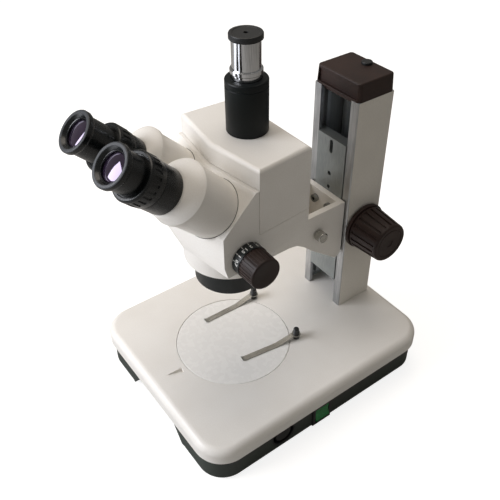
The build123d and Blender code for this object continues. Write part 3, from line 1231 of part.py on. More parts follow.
def eyepiece(side_name):
    """Eyepiece: barrel in the sleeve, body and rolled cup with a conical mouth."""
    side = SIDES[side_name]
    top = EYE_LENGTH
    seat = EYE_LENGTH - SLEEVE_END
    barrel_r = SLEEVE_BORE_R - RUN_GAP
    bottom = seat - EYEPIECE_BARREL_LENGTH
    lens_floor = top - EYE_LENS_DEPTH - EYE_LENS_THICK
    body = turned([(EYEPIECE_BORE_R, bottom), (barrel_r, bottom), (barrel_r, seat), (EYEPIECE_R, seat),
                   (EYEPIECE_R, top - CUP_LENGTH - 1), (CUP_R, top - CUP_LENGTH), (CUP_R, top - 1.2),
                   (CUP_R - 1.2, top), (CUP_R - 3.0, top), (EYE_LENS_R + 0.1, top - EYE_LENS_DEPTH),
                   (EYE_LENS_R + 0.1, lens_floor), (EYEPIECE_BORE_R - 1.5, lens_floor),
                   (EYEPIECE_BORE_R - 1.5, lens_floor - 3), (EYEPIECE_BORE_R, lens_floor - 4)])
    return eye_frame(side) * eye_axis(side) * body


def eye_lens(side_name):
    """Glass at the eyepiece's mouth."""
    side = SIDES[side_name]
    floor = EYE_LENGTH - EYE_LENS_DEPTH - EYE_LENS_THICK
    r = EYE_LENS_R
    bulge = 1.5
    ball_r = (r * r + bulge * bulge) / (2 * bulge)
    glass = Pos(0, 0, EYE_LENS_THICK - ball_r) * Sphere(ball_r)
    glass = glass & Cylinder(r, 2 * EYE_LENS_THICK) & Pos(0, 0, TRIM / 2) * Box(TRIM, TRIM, TRIM)
    return eye_frame(side) * eye_axis(side) * Pos(0, 0, floor) * glass


# Camera tube

def photo_tube():
    """Black camera tube on the upper cover."""
    bottom = COVER_TOP - PHOTO_SPIGOT_LENGTH
    bore = CHROME_LOWER_R + RUN_GAP
    tube = turned([(PHOTO_LOWER_BORE_R, bottom), (PHOTO_SPIGOT_R, bottom), (PHOTO_SPIGOT_R, COVER_TOP),
                   (PHOTO_R, COVER_TOP), (PHOTO_R, PHOTO_TOP - 1.5), (PHOTO_R - 1.5, PHOTO_TOP),
                   (bore, PHOTO_TOP), (bore, PHOTO_SHOULDER), (PHOTO_LOWER_BORE_R, PHOTO_SHOULDER)])
    return Pos(0, PHOTO_Y, 0) * tube


def photo_sleeve():
    """Chromed tube that slides in the camera tube."""
    collar_top = CHROME_COLLAR_BOTTOM + CHROME_COLLAR_LENGTH
    tube = turned([(CHROME_BORE_R, CHROME_BOTTOM), (CHROME_LOWER_R, CHROME_BOTTOM),
                   (CHROME_LOWER_R, CHROME_COLLAR_BOTTOM), (CHROME_COLLAR_R, CHROME_COLLAR_BOTTOM),
                   (CHROME_COLLAR_R, collar_top - 0.6), (CHROME_COLLAR_R - 0.6, collar_top),
                   (CHROME_R, collar_top), (CHROME_R, CHROME_TOP), (CHROME_BORE_R, CHROME_TOP)])
    return Pos(0, PHOTO_Y, 0) * tube


def dust_cap():
    """Black cap over the chromed tube's end."""
    bore = CHROME_R + RUN_GAP
    cap = turned([(0, CHROME_TOP + RUN_GAP), (bore, CHROME_TOP + RUN_GAP), (bore, DUST_CAP_BOTTOM),
                  (DUST_CAP_R, DUST_CAP_BOTTOM), (DUST_CAP_R, DUST_CAP_TOP - 0.8),
                  (DUST_CAP_R - 0.8, DUST_CAP_TOP), (0, DUST_CAP_TOP)])
    return Pos(0, PHOTO_Y, 0) * cap


parts = {
    "base_cover": base_cover(),
    "base_tray": base_tray(),
    "rubber_feet": rubber_feet(),
    "base_fasteners": base_fasteners(),
    "stage_plate": stage_plate(),
    "lamp_heatsink": lamp_heatsink(),
    "lamp_board": lamp_board(),
    "lamp_reflector": lamp_reflector(),
    "power_board": power_board(),
    "power_inlet": power_inlet(),
    "dimmer_cup": dimmer_cup(),
    "dimmer_can": dimmer_can(),
    "dimmer_knob": dimmer_knob(),
    "switch_housing": switch_housing(),
    "rocker_button": rocker_button(),
    "pillar": pillar(),
    "pillar_cap": pillar_cap(),
    "cap_plug": cap_plug(),
    "guide_rails": guide_rails(),
    "shaft_bushes": shaft_bushes(),
    "slide_plate": slide_plate(),
    "focus_rack": focus_rack(),
    "arm_bracket": arm_bracket(),
    "bracket_screws": bracket_screws(),
    "lock_screw": lock_screw(),
    "pinion_shaft": pinion_shaft(),
    "focus_knobs": both_sides(focus_knob()),
    "main_body": main_body(),
    "upper_cover": upper_cover(),
    "cover_screws": cover_screws(),
    "objective_shroud": objective_shroud(),
    "objective_lenses": objective_lenses(),
    "guide_rods": guide_rods(),
    "beam_splitter": beam_splitter(),
    "photo_tube": photo_tube(),
    "photo_sleeve": photo_sleeve(),
    "dust_cap": dust_cap(),
    "zoom_shaft": zoom_shaft(),
    "zoom_dials": zoom_dials(),
    "zoom_knobs": zoom_knobs(),
    "zoom_carrier": zoom_carrier(),
    "zoom_lenses": zoom_lenses(),
}
for name, side in SIDES.items():
    parts[f"clip_post_{name}"] = clip_post(name)
    parts[f"clip_blade_{name}"] = clip_blade(name)
    parts[f"drum_{name}"] = drum(side)
    parts[f"prism_housing_{name}"] = prism_housing(side)
    parts[f"prism_{name}"] = prism(side)
    parts[f"eye_tube_{name}"] = eye_tube(name)
    parts[f"diopter_ring_{name}"] = diopter_ring(name)
    parts[f"eyepiece_{name}"] = eyepiece(name)
    parts[f"eye_lens_{name}"] = eye_lens(name)

for name, shape in parts.items():
    export_step(shape, f"parts/{name}.step")
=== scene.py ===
from math import atan2, cos, pi, radians, sin

import bpy
from mathutils import Matrix, Vector


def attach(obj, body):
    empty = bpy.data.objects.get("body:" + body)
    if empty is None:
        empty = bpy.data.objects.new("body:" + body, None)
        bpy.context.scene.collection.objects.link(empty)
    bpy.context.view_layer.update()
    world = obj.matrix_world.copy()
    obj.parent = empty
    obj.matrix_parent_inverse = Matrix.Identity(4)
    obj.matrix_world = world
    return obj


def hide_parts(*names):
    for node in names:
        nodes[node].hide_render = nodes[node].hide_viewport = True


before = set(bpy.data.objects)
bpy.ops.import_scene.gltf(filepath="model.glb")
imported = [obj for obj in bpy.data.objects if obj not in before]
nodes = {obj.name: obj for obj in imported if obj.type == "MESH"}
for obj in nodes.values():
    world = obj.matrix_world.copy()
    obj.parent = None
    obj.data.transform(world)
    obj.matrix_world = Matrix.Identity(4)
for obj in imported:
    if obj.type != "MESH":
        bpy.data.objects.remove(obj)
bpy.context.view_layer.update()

# Studio. A white table under a window at the left front, a soft ceiling lamp above and
# the table's own glow from the front. The camera stands where the picture was taken.
CAMERA_AT = (0.40350, -0.26451, 0.58071)
AZIMUTH, ELEVATION, ROLL = radians(54.103), radians(40.069), radians(-0.690)
LAMP_TARGET = Vector((0, 0, 0.2))
ROOM_STRENGTH = 0.27
TABLE_GLOW = 0.82

scene = bpy.context.scene
back = Vector((sin(AZIMUTH) * cos(ELEVATION), -cos(AZIMUTH) * cos(ELEVATION), sin(ELEVATION)))
level = (-back).cross(Vector((0, 0, 1))).normalized()
upright = level.cross(-back)
right = level * cos(ROLL) + upright * sin(ROLL)
up = upright * cos(ROLL) - level * sin(ROLL)
view = Matrix((right, up, back)).transposed().to_4x4()
camera = bpy.data.objects.new("camera", bpy.data.cameras.new("camera"))
scene.collection.objects.link(camera)
camera.matrix_world = Matrix.Translation(CAMERA_AT) @ view
camera.data.lens = 48.04
camera.data.sensor_width = 36
camera.data.shift_x = -0.0062
camera.data.shift_y = -0.0032
camera.data.clip_start = 0.01
scene.camera = camera
scene.view_settings.view_transform = "Standard"


def linear(code):
    """Linear colour of an sRGB hex value."""
    parts = [int(code[i:i + 2], 16) / 255 for i in (0, 2, 4)]
    curve = [c / 12.92 if c <= 0.04045 else ((c + 0.055) / 1.055) ** 2.4 for c in parts]
    return tuple(curve) + (1.0,)


def add(tree, kind, inputs, **settings):
    """Add a shader node, with its settings, and its inputs as constants or links."""
    node = tree.nodes.new("ShaderNode" + kind)
    for name, value in settings.items():
        setattr(node, name, value)
    for socket, value in inputs.items():
        if isinstance(value, bpy.types.NodeSocket):
            tree.links.new(value, node.inputs[socket])
        else:
            node.inputs[socket].default_value = value
    return node


def lamp(name, toward, distance, width, height, strength, colour):
    """Soft area lamp aimed at the head, with about strength as light on a white face."""
    light = bpy.data.lights.new(name, "AREA")
    light.shape = "RECTANGLE"
    light.size, light.size_y = width, height
    light.energy = pi * pi * distance * distance * strength
    light.color = linear(colour)[:3]
    holder = bpy.data.objects.new(name, light)
    scene.collection.objects.link(holder)
    offset = Vector(toward).normalized() * distance
    holder.location = LAMP_TARGET + offset
    holder.rotation_euler = offset.to_track_quat("Z", "Y").to_euler()
    holder.visible_camera = False


def emptied(owner):
    """Node tree of a new world or material, without its first nodes."""
    owner.use_nodes = True
    owner.node_tree.nodes.clear()
    return owner.node_tree


def lit_or_seen(tree, lit, seen):
    """Light the room with one shader, and show the other to the camera and through glass."""
    path = add(tree, "LightPath", {})
    direct = add(tree, "Math", {0: path.outputs["Is Camera Ray"],
                                1: path.outputs["Is Transmission Ray"]},
                 operation="ADD", use_clamp=True)
    return add(tree, "MixShader", {0: direct.outputs[0], 1: lit.outputs[0], 2: seen.outputs[0]})


lamp("window", (-0.45, -1.0, 0.55), 1.4, 0.9, 0.7, 0.95, "F6F8FF")
lamp("ceiling", (-0.3, 0.12, 1.0), 1.5, 1.1, 1.1, 0.42, "FFF4E8")
lamp("table_glow", (-0.25, -0.9, -0.28), 0.62, 0.8, 0.2, 0.2, "EEF3FF")

scene.world = bpy.data.worlds.new("room")
tree = emptied(scene.world)
room = add(tree, "Background", {"Color": linear("F3EFE9"), "Strength": ROOM_STRENGTH})
white = add(tree, "Background", {"Color": linear("FFFFFF"), "Strength": 1.0})
add(tree, "OutputWorld", {"Surface": lit_or_seen(tree, room, white).outputs[0]})

bpy.ops.object.select_all(action="DESELECT")
bpy.ops.mesh.primitive_plane_add(size=6)
table = bpy.context.object
table.name = "table"
table_white = bpy.data.materials.new("white_table")
tree = emptied(table_white)
matt = add(tree, "BsdfDiffuse", {"Color": linear("B4B2AE")})
glow = add(tree, "Emission", {"Color": linear("FFFFFF"), "Strength": TABLE_GLOW})
glowing = add(tree, "AddShader", {0: matt.outputs[0], 1: glow.outputs[0]})
add(tree, "OutputMaterial", {"Surface": lit_or_seen(tree, matt, glowing).outputs[0]})
table.data.materials.append(table_white)

# Base cover. A pressed steel tub upside down, sprayed with white enamel and baked. The
# plate's seat is turned into its top, and it carries the pillar and the clips.
MM = 0.001


def grained(name, light, dark, roughness, relief, grain, metallic=0.0, stretch=(1, 1, 1),
            patch=40.0, gloss=0.5):
    """Material whose tone drifts between two colours, with a grain and patches in mm.

    The grain sets its relief in mm and where it lies in its range of roughness.
    """
    material = bpy.data.materials.new(name)
    material.use_nodes = True
    tree = material.node_tree
    shader = tree.nodes["Principled BSDF"]
    place = add(tree, "TexCoord", {}).outputs["Object"]
    stretched = add(tree, "Mapping", {"Vector": place, "Scale": stretch}).outputs[0]
    fine = add(tree, "TexNoise", {"Vector": stretched, "Scale": 1 / (grain * MM), "Detail": 2.0})
    wide = add(tree, "TexNoise", {"Vector": place, "Scale": 1 / (patch * MM), "Detail": 2.0})
    both = add(tree, "Math", {0: fine.outputs[0], 1: wide.outputs[0]}, operation="MULTIPLY")
    tone = add(tree, "MapRange", {"Value": both.outputs[0], "From Min": 0.12, "From Max": 0.38})
    colour = add(tree, "Mix", {0: tone.outputs[0], 6: linear(dark), 7: linear(light)},
                 data_type="RGBA")
    rough = add(tree, "MapRange", {"Value": fine.outputs[0], "From Min": 0.3, "From Max": 0.7,
                                   "To Min": roughness[0], "To Max": roughness[1]})
    bump = add(tree, "Bump", {"Height": fine.outputs[0], "Strength": 0.5,
                              "Distance": relief * MM})
    shader.inputs["Metallic"].default_value = metallic
    shader.inputs["Specular IOR Level"].default_value = gloss
    tree.links.new(colour.outputs[2], shader.inputs["Base Color"])
    tree.links.new(rough.outputs[0], shader.inputs["Roughness"])
    tree.links.new(bump.outputs[0], shader.inputs["Normal"])
    return material


def only(piece):
    """Make one piece the whole selection."""
    bpy.ops.object.select_all(action="DESELECT")
    piece.select_set(True)
    bpy.context.view_layer.objects.active = piece


def rounded(piece, width, segments=2, angle=28):
    """Round the edges of a piece by a width in mm and shade it smooth between them."""
    only(piece)
    if width:
        bevel = piece.modifiers.new("edges", "BEVEL")
        bevel.width = width * MM
        bevel.segments = segments
        bevel.limit_method = "ANGLE"
        bevel.angle_limit = radians(angle)
        bpy.ops.object.modifier_apply(modifier="edges")
    bpy.ops.object.shade_smooth_by_angle(angle=radians(angle))
    weighted = piece.modifiers.new("normals", "WEIGHTED_NORMAL")
    weighted.keep_sharp = True
    bpy.ops.object.modifier_apply(modifier="normals")


def finished(piece, material, body, slot, *replaced):
    """Give a piece its material, the body that it rides on, and the node it stands for."""
    piece.data.materials.clear()
    piece.data.materials.append(material)
    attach(piece, body)
    if replaced:
        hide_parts(*replaced)
    return piece


def dressed(node, material, body, slot, width=0.3, segments=2):
    """Copy a node, join its flat faces, round its edges and finish it."""
    piece = nodes[node].copy()
    piece.data = nodes[node].data.copy()
    piece.name = node + "_finish"
    scene.collection.objects.link(piece)
    piece.parent = None
    piece.matrix_world = Matrix.Identity(4)
    only(piece)
    bpy.ops.object.mode_set(mode="EDIT")
    bpy.ops.mesh.select_all(action="SELECT")
    bpy.ops.mesh.remove_doubles(threshold=0.002 * MM)
    bpy.ops.mesh.dissolve_limited(angle_limit=radians(0.6))
    bpy.ops.object.mode_set(mode="OBJECT")
    rounded(piece, width, segments)
    return finished(piece, material, body, slot, node)


# Baked enamel: warm white, satin, with the faint orange peel of a sprayed coat. Its
# lumps are under a millimetre across, and drawn a little larger to show.
enamel = grained("white_baked_enamel", "EFECE6", "E9E5DE", (0.34, 0.44), 0.012, 1.1)
dressed("base_cover", enamel, "stand", "white_enamel", 0.35)

# Tray and feet. The tray is moulded in dark grey-green plastic with a spark-eroded
# texture that dulls its shine. It closes the base and stands on four soft rubber feet.
tray_plastic = grained("grey_green_textured_abs", "333B35", "272E29", (0.45, 0.62), 0.05, 0.7)
dressed("base_tray", tray_plastic, "stand", "tray_plastic", 0.5)
foot_rubber = grained("black_moulded_rubber", "1C1C1B", "131313", (0.75, 0.9), 0.03, 0.5)
dressed("rubber_feet", foot_rubber, "stand", "foot_rubber", 0.25)

# Stage plate. Opal acrylic turned to a disc with a small bevel, loose in its seat. It is
# whiter than the enamel round it, smooth, and has a soft gloss.
opal = grained("white_opal_acrylic", "F3F1EC", "F1EFEA", (0.24, 0.3), 0.001, 6.0)
dressed("stage_plate", opal, "stage_disc", "stage_white", 0.3)

# Stage clips. Posts turned from steel and blacked, and blades punched from stainless
# spring strip, whose brushing leaves fine bright lines along their length.
post_black = grained("black_oxide_steel", "1B1D1E", "101112", (0.3, 0.42), 0.006, 0.6)
blade_steel = grained("brushed_stainless_strip", "B9B8B2", "8D8C86", (0.26, 0.42), 0.006, 0.35,
                      metallic=1.0, stretch=(1, 0.04, 1))
for side in ("left", "right"):
    dressed("clip_post_" + side, post_black, "clip_" + side, "black_plastic", 0.25)
    dressed("clip_blade_" + side, blade_steel, "clip_" + side, "stainless_blade", 0.12)

# Controls in the base's right side and the inlet in its rear, moulded in satin black
# plastic. The rocker is green plastic that lets a little light in under its gloss.
black_moulded = grained("black_moulded_abs", "1D1F20", "141516", (0.38, 0.5), 0.02, 0.5)
rocker_green = grained("green_translucent_polycarbonate", "2F8A4C", "1F6E3A", (0.18, 0.26),
                       0.004, 2.0)
rocker_inputs = rocker_green.node_tree.nodes["Principled BSDF"].inputs
rocker_inputs["Subsurface Weight"].default_value = 0.25
rocker_inputs["Subsurface Scale"].default_value = 2 * MM
dressed("dimmer_cup", black_moulded, "stand", "black_plastic", 0.3)
dressed("dimmer_knob", black_moulded, "dimmer", "black_plastic", 0.25)
dressed("switch_housing", black_moulded, "stand", "black_plastic", 0.3)
dressed("rocker_button", rocker_green, "rocker", "green_rocker", 0.5, 3)
dressed("power_inlet", black_moulded, "stand", "black_plastic", 0.2)

# Pillar. An extruded aluminium channel, bolted to the base. Its sides are painted satin
# white, its flanges brushed bare with fine upright lines, and its inside etched matt.
PAINTED_HALF_W, PAINTED_REAR = 29.6, 167.4
INSIDE_HALF_W, INSIDE_FRONT = 26.3, 125.0
pillar_paint = grained("satin_painted_extrusion", "E3DFD6", "DAD6CD", (0.38, 0.46), 0.01, 0.9,
                       stretch=(1, 1, 0.3))
bare_flange = grained("brushed_extruded_aluminium", "C9CACB", "96989A", (0.3, 0.45), 0.01, 0.5,
                      metallic=1.0, stretch=(1, 1, 0.02))
inside_grey = grained("matt_etched_aluminium", "A9AEB0", "8B9092", (0.45, 0.6), 0.01, 0.5,
                      metallic=0.2, stretch=(1, 1, 0.02))
pillar = dressed("pillar", pillar_paint, "stand", "pillar_finish", 0.25)
pillar.data.materials.append(bare_flange)
pillar.data.materials.append(inside_grey)
for face in pillar.data.polygons:
    from_middle, depth = abs(face.center.x) / MM, face.center.y / MM
    if from_middle < PAINTED_HALF_W and depth < PAINTED_REAR:
        inside = from_middle < INSIDE_HALF_W and depth > INSIDE_FRONT
        face.material_index = 2 if inside else 1

# Pillar cap. One moulding in dark brown plastic, whose coarse leather-like texture breaks
# up its shine. It is pushed into the channel, and a black plug closes its screw hole.
brown_moulded = grained("dark_brown_textured_abs", "35231D", "1E1310", (0.4, 0.55), 0.08, 0.9,
                        gloss=0.35)
dressed("pillar_cap", brown_moulded, "stand", "brown_plastic", 0.3)
dressed("cap_plug", black_moulded, "stand", "black_plastic", 0.2)

# Focus slide and arm. The slide is milled aluminium anodised a dull grey. The arm is an
# aluminium casting, sprayed with the same enamel as the base, with soft cast edges.
slide_grey = grained("grey_anodised_aluminium", "9EA3A3", "878C8C", (0.36, 0.46), 0.006, 0.5,
                     metallic=0.75, stretch=(1, 1, 0.06))
dressed("slide_plate", slide_grey, "carriage", "grey_anodised", 0.2)
dressed("arm_bracket", enamel, "carriage", "white_enamel", 0.7, 3)

# Lock screw. Turned brass with bright nickel plate, screwed into the arm's side. It has
# a plain head with a small bevel and mirrors the room.
plated = grained("bright_nickel_plate", "C9C8C2", "A9A8A2", (0.14, 0.24), 0.002, 0.6,
                 metallic=1.0, stretch=(1, 0.3, 0.3))
dressed("lock_screw", plated, "lock", "bright_chrome", 0.3)

# Focus knobs. Moulded in the same brown plastic as the cap and pressed on the pinion
# shaft: a thin flange, a tapered grip with broad ribs, and an end with one turned ring.
FOCUS_AXLE = Vector((0, 145, 155.5))
FOCUS_START = 31.0
FOCUS_RIBS = 18
FOCUS_RIB_SHARE = 0.66
FOCUS_GROOVE = 1.25
GRIP_LOW, GRIP_HIGH = 7.0, 35.6


def turned(name, outline, segments=96):
    """Turn an outline in mm: a ring is extruded from point to point and scaled.

    A point is a radius and a height, and can be followed by the x and y of its centre.
    """
    bpy.ops.object.select_all(action="DESELECT")
    points = [tuple(point) if len(point) == 4 else (*point, 0.0, 0.0) for point in outline]
    radius, height, x, y = points[0]
    bpy.ops.mesh.primitive_circle_add(vertices=segments, radius=radius * MM)
    piece = bpy.context.object
    piece.name = name
    bpy.ops.object.mode_set(mode="EDIT")
    bpy.ops.mesh.select_mode(type="VERT")
    bpy.ops.mesh.select_all(action="SELECT")
    bpy.ops.transform.translate(value=(x * MM, y * MM, height * MM))
    for next_radius, next_height, next_x, next_y in points[1:]:
        step = ((next_x - x) * MM, (next_y - y) * MM, (next_height - height) * MM)
        centre = (next_x * MM, next_y * MM, next_height * MM)
        factor = next_radius / radius
        bpy.ops.mesh.extrude_region_move(TRANSFORM_OT_translate={"value": step})
        bpy.ops.transform.resize(value=(factor, factor, 1), center_override=centre)
        radius, height, x, y = next_radius, next_height, next_x, next_y
    bpy.ops.mesh.select_all(action="SELECT")
    bpy.ops.mesh.remove_doubles(threshold=0.003 * MM)
    bpy.ops.mesh.fill_holes(sides=0)
    bpy.ops.mesh.select_all(action="SELECT")
    bpy.ops.mesh.normals_make_consistent(inside=False)
    bpy.ops.object.mode_set(mode="OBJECT")
    return piece


def groove(piece, count, low, high, rib_share, depth, least_radius=0.0):
    """Sink grooves between the ribs of a turned piece, from one height to another."""
    only(piece)
    bpy.ops.object.mode_set(mode="EDIT")
    bpy.ops.mesh.select_mode(type="FACE")
    bpy.ops.mesh.select_all(action="DESELECT")
    bpy.ops.object.mode_set(mode="OBJECT")
    for face in piece.data.polygons:
        centre = face.center / MM
        turn = atan2(centre.y, centre.x) / (2 * pi) * count % 1
        outside = Vector(centre.xy).length > least_radius
        face.select = low < centre.z < high and turn > rib_share and outside
    bpy.ops.object.mode_set(mode="EDIT")
    bpy.ops.mesh.extrude_region_shrink_fatten(TRANSFORM_OT_shrink_fatten={"value": -depth * MM})
    bpy.ops.object.mode_set(mode="OBJECT")


def settle(piece, place):
    """Move the mesh of a piece to its place, with the piece itself at the origin."""
    only(piece)
    piece.matrix_world = place
    bpy.ops.object.transform_apply(location=True, rotation=True, scale=True)


def both_ends(knob, axle, start, body, node):
    """Put a knob on each end of a cross shaft, with its foot start mm from the middle."""
    name = knob.name
    other = knob.copy()
    other.data = knob.data.copy()
    scene.collection.objects.link(other)
    for piece, end, side in ((knob, "_right", 1), (other, "_left", -1)):
        foot = Matrix.Translation((axle + Vector((side * start, 0, 0))) * MM)
        settle(piece, foot @ Matrix.Rotation(side * pi / 2, 4, "Y"))
        piece.name = name + end
        finished(piece, brown_moulded, body, "brown_plastic", node)


focus_knob = turned("focus_knob", [
    (4.2, 0), (24.0, 0), (24.8, 0.8), (24.8, 3.2), (24.2, 4.0), (22.0, 4.0), (22.0, 5.0),
    (22.8, 5.0), (23.3, 5.6), (23.2, GRIP_LOW), (20.95, GRIP_HIGH), (20.8, 37.2), (20.2, 38.4),
    (19.1, 39.0), (16.0, 39.0), (15.8, 38.4), (14.8, 38.4), (14.6, 39.0), (13.0, 38.8),
    (4.2, 38.6), (4.2, 38.0)], FOCUS_RIBS * 6)
groove(focus_knob, FOCUS_RIBS, GRIP_LOW, GRIP_HIGH, FOCUS_RIB_SHARE, FOCUS_GROOVE)
rounded(focus_knob, 0.28, angle=24)
both_ends(focus_knob, FOCUS_AXLE, FOCUS_START, "focus_drive", "focus_knobs")

# Head. The lower body is an aluminium casting and the upper cover a thick moulding, both
# sprayed white. Soft edges catch the light, and a fine gap shows where they meet.
dressed("main_body", enamel, "head", "white_enamel", 0.45)
dressed("upper_cover", enamel, "head", "white_enamel", 0.45)

# Objective ring. Turned aluminium, anodised black with a satin face whose faint turning
# lines run round it, screwed up into the barrel from below.
black_anodised = grained("black_anodised_aluminium", "10181A", "080D0E", (0.3, 0.42), 0.004,
                         0.5, stretch=(1, 1, 0.3))
dressed("objective_shroud", black_anodised, "head", "black_anodised", 0.3)

# Drums. Each is a plain turned tube on the head's leaning face, sprayed with the body.
# A thin dark ring round its foot is painted shade. It stands for the shadow in the gap
# where the drum meets the face.
SIDES = {"left": -1, "right": 1}
DRUM_FOOT = Vector((29.56, -35.57, 256.85))
DRUM_SPREAD = radians(3)
FACE_VEE = radians(8.4)
LEAN = radians(45)
SHADOW_GAP_RING = [(25.2, -0.3), (26.2, -0.3), (26.2, 0.25), (25.2, 0.25), (25.2, -0.3)]


def at_foot(side, turn):
    """Place at the foot of a side's drum, with a turn."""
    foot = Vector((side * DRUM_FOOT.x, DRUM_FOOT.y, DRUM_FOOT.z))
    return Matrix.Translation(foot * MM) @ turn.to_4x4()


def drum_place(side):
    """Place of a drum: its foot on the leaning face, turned along its axis."""
    along = Vector((side * sin(DRUM_SPREAD) * cos(LEAN), -cos(DRUM_SPREAD) * cos(LEAN),
                    sin(LEAN)))
    across = Vector((cos(DRUM_SPREAD), side * sin(DRUM_SPREAD), 0))
    return at_foot(side, Matrix((across, along.cross(across), along)).transposed())


def face_place(side):
    """Place on the leaning face at a drum's foot, turned along the face's normal."""
    normal = Vector((side * sin(FACE_VEE) * sin(LEAN), -cos(FACE_VEE) * sin(LEAN), cos(LEAN)))
    return at_foot(side, normal.to_track_quat("Z", "Y").to_matrix())


def fitted(name, outline, place, width, *finish, segments=96, angle=28):
    """Turn a piece, move it to its place, round its edges and finish it."""
    piece = turned(name, outline, segments)
    settle(piece, place)
    rounded(piece, width, angle=angle)
    return finished(piece, *finish)


# Thin dark ring at each drum's foot: painted shade for the shadow in the gap between drum and
# face.
painted_shadow_dark = grained("painted_shadow_gap_ring", "3A3C38", "2B2D2A", (0.6, 0.75), 0.01, 0.6)
for name, side in SIDES.items():
    dressed("drum_" + name, enamel, "head", "white_enamel", 0.3)
    fitted("drum_joint_" + name, SHADOW_GAP_RING, face_place(side), 0.1, painted_shadow_dark, "head",
           "black_plastic")

# Prism housings. Cast caps that turn on the drums, sprayed with the same enamel: a plain
# rim with a crisp edge, then a face that leans over to the eye tube.
EYE_IN, EYE_DOWN = 4.6, 5.4
HOUSING_BACK = [(21.9, 30.6), (21.9, 38.5), (26.9, 38.5), (27.3, 38.9)]
HOUSING_FACE = [(27.3, 41.5, 0.0), (26.45, 43.0, 0.06), (25.3, 44.6, 0.17), (23.9, 46.3, 0.36),
                (22.3, 47.9, 0.62), (20.8, 49.2, 0.88), (19.3, 50.0, 1.0), (12.0, 50.0, 1.0),
                (12.0, 45.0, 1.0)]
HOUSING_BORE = [(19.8, 45.0), (19.8, 30.6), (21.9, 30.6)]
for name, side in SIDES.items():
    face = [(radius, height, -side * EYE_IN * shift, -EYE_DOWN * shift)
            for radius, height, shift in HOUSING_FACE]
    fitted("prism_housing_" + name + "_finish", HOUSING_BACK + face + HOUSING_BORE,
           drum_place(side), 0.0, enamel, "ocular_" + name, "white_enamel",
           "prism_housing_" + name, angle=22)

# Eye tubes. Turned aluminium, anodised a glossy black: a smooth collar screwed to the
# housing and the sleeve that holds the eyepiece.
EYE_LENGTH = 107.4
DIOPTER_START = {"left": 28.0, "right": 21.4}
DIOPTER_LENGTH = 17.0
RING_GAP = 0.3


def eye_axis(side):
    """Place on a drum's foot plane where the eyepiece's axis meets it, turned along it."""
    return drum_place(side) @ Matrix.Translation((-side * EYE_IN * MM, -EYE_DOWN * MM, 0))


eye_black = grained("gloss_black_anodised_aluminium", "0D1213", "060A0B", (0.22, 0.32), 0.003,
                    0.6)
for name, side in SIDES.items():
    end = EYE_LENGTH - DIOPTER_START[name] - DIOPTER_LENGTH - RING_GAP
    fitted("eye_tube_" + name + "_finish", [
        (14.05, 50.0), (19.0, 50.0), (19.0, 51.0), (19.4, 52.0), (19.4, end - 1.4),
        (19.0, end - 0.4), (18.4, end), (15.7, end), (15.7, 86.3), (14.05, 86.3), (14.05, 50.0)],
        eye_axis(side), 0.15, eye_black, "ocular_" + name, "black_anodised", "eye_tube_" + name)

# Diopter rings. Turned from aluminium and anodised black, with short flutes milled into
# the band that the fingers hold, and screwed on the sleeve.
FLUTES = 24
FLUTE_RIB_SHARE = 0.58
FLUTE_DEPTH = 0.8
for name, side in SIDES.items():
    end = EYE_LENGTH - DIOPTER_START[name]
    start = end - DIOPTER_LENGTH
    band_low, band_high = start + 6.0, end - 3.2
    ring = turned("diopter_ring_" + name + "_finish", [
        (15.75, start), (19.2, start), (20.0, start + 0.6), (20.3, start + 4.0),
        (20.6, band_low), (20.6, band_high), (20.6, end - 1.6), (20.1, end - 0.6), (19.0, end),
        (17.2, end), (16.8, end - 0.6), (15.75, end - 0.6), (15.75, start)], FLUTES * 5)
    groove(ring, FLUTES, band_low, band_high, FLUTE_RIB_SHARE, FLUTE_DEPTH, least_radius=19)
    settle(ring, eye_axis(side))
    rounded(ring, 0.18, angle=24)
    finished(ring, eye_black, "ring_" + name, "black_anodised", "diopter_ring_" + name)

# Eyepieces. A black anodised barrel, pushed into the sleeve, and a moulded cup: a flat
# satin rim, greyer than the barrel, a conical mouth and a thin ring over the lens.
RIM_FACE = 106.9
EYEPIECE = [(12.0, 54.4), (14.0, 54.4), (14.0, 86.4), (15.7, 86.4), (15.9, 88.0),
            (15.9, 100.6), (16.3, 101.4), (17.4, 102.4), (17.8, 103.4), (17.8, 106.2),
            (17.4, 107.0), (16.7, 107.4), (14.9, 107.4), (14.3, 107.0), (12.6, 105.0),
            (12.4, 104.4), (11.7, 104.2), (11.7, 100.4), (10.5, 100.2), (10.5, 97.0),
            (12.0, 96.0), (12.0, 54.4)]
cup_black = grained("satin_black_moulded_cup", "33363A", "26292C", (0.4, 0.5), 0.006, 0.5)
for name, side in SIDES.items():
    eyepiece = fitted("eyepiece_" + name + "_finish", EYEPIECE, eye_axis(side), 0.12, eye_black,
                      "lens_" + name, "black_anodised", "eyepiece_" + name)
    eyepiece.data.materials.append(cup_black)
    from_foot = eye_axis(side).inverted()
    for face in eyepiece.data.polygons:
        if (from_foot @ face.center / MM).z > RIM_FACE:
            face.material_index = 1

# Eye lenses. Ground crown glass with a coating that gives a violet reflex. The bore
# behind is black, so the glass is drawn as a dark body under a clear coat. Faint violet
# clouds in that body are a painted reflection of the coating's reflex.
EYE_LENS = [(11.55, 100.5), (11.55, 102.2), (11.3, 102.6), (10.2, 103.0), (8.6, 103.4),
            (6.6, 103.75), (4.4, 104.0), (2.2, 104.15), (0.6, 104.2)]
coated = bpy.data.materials.new("dark_glass_with_painted_violet_reflex")
coated.use_nodes = True
tree = coated.node_tree
shader = tree.nodes["Principled BSDF"]
place = add(tree, "TexCoord", {}).outputs["Object"]
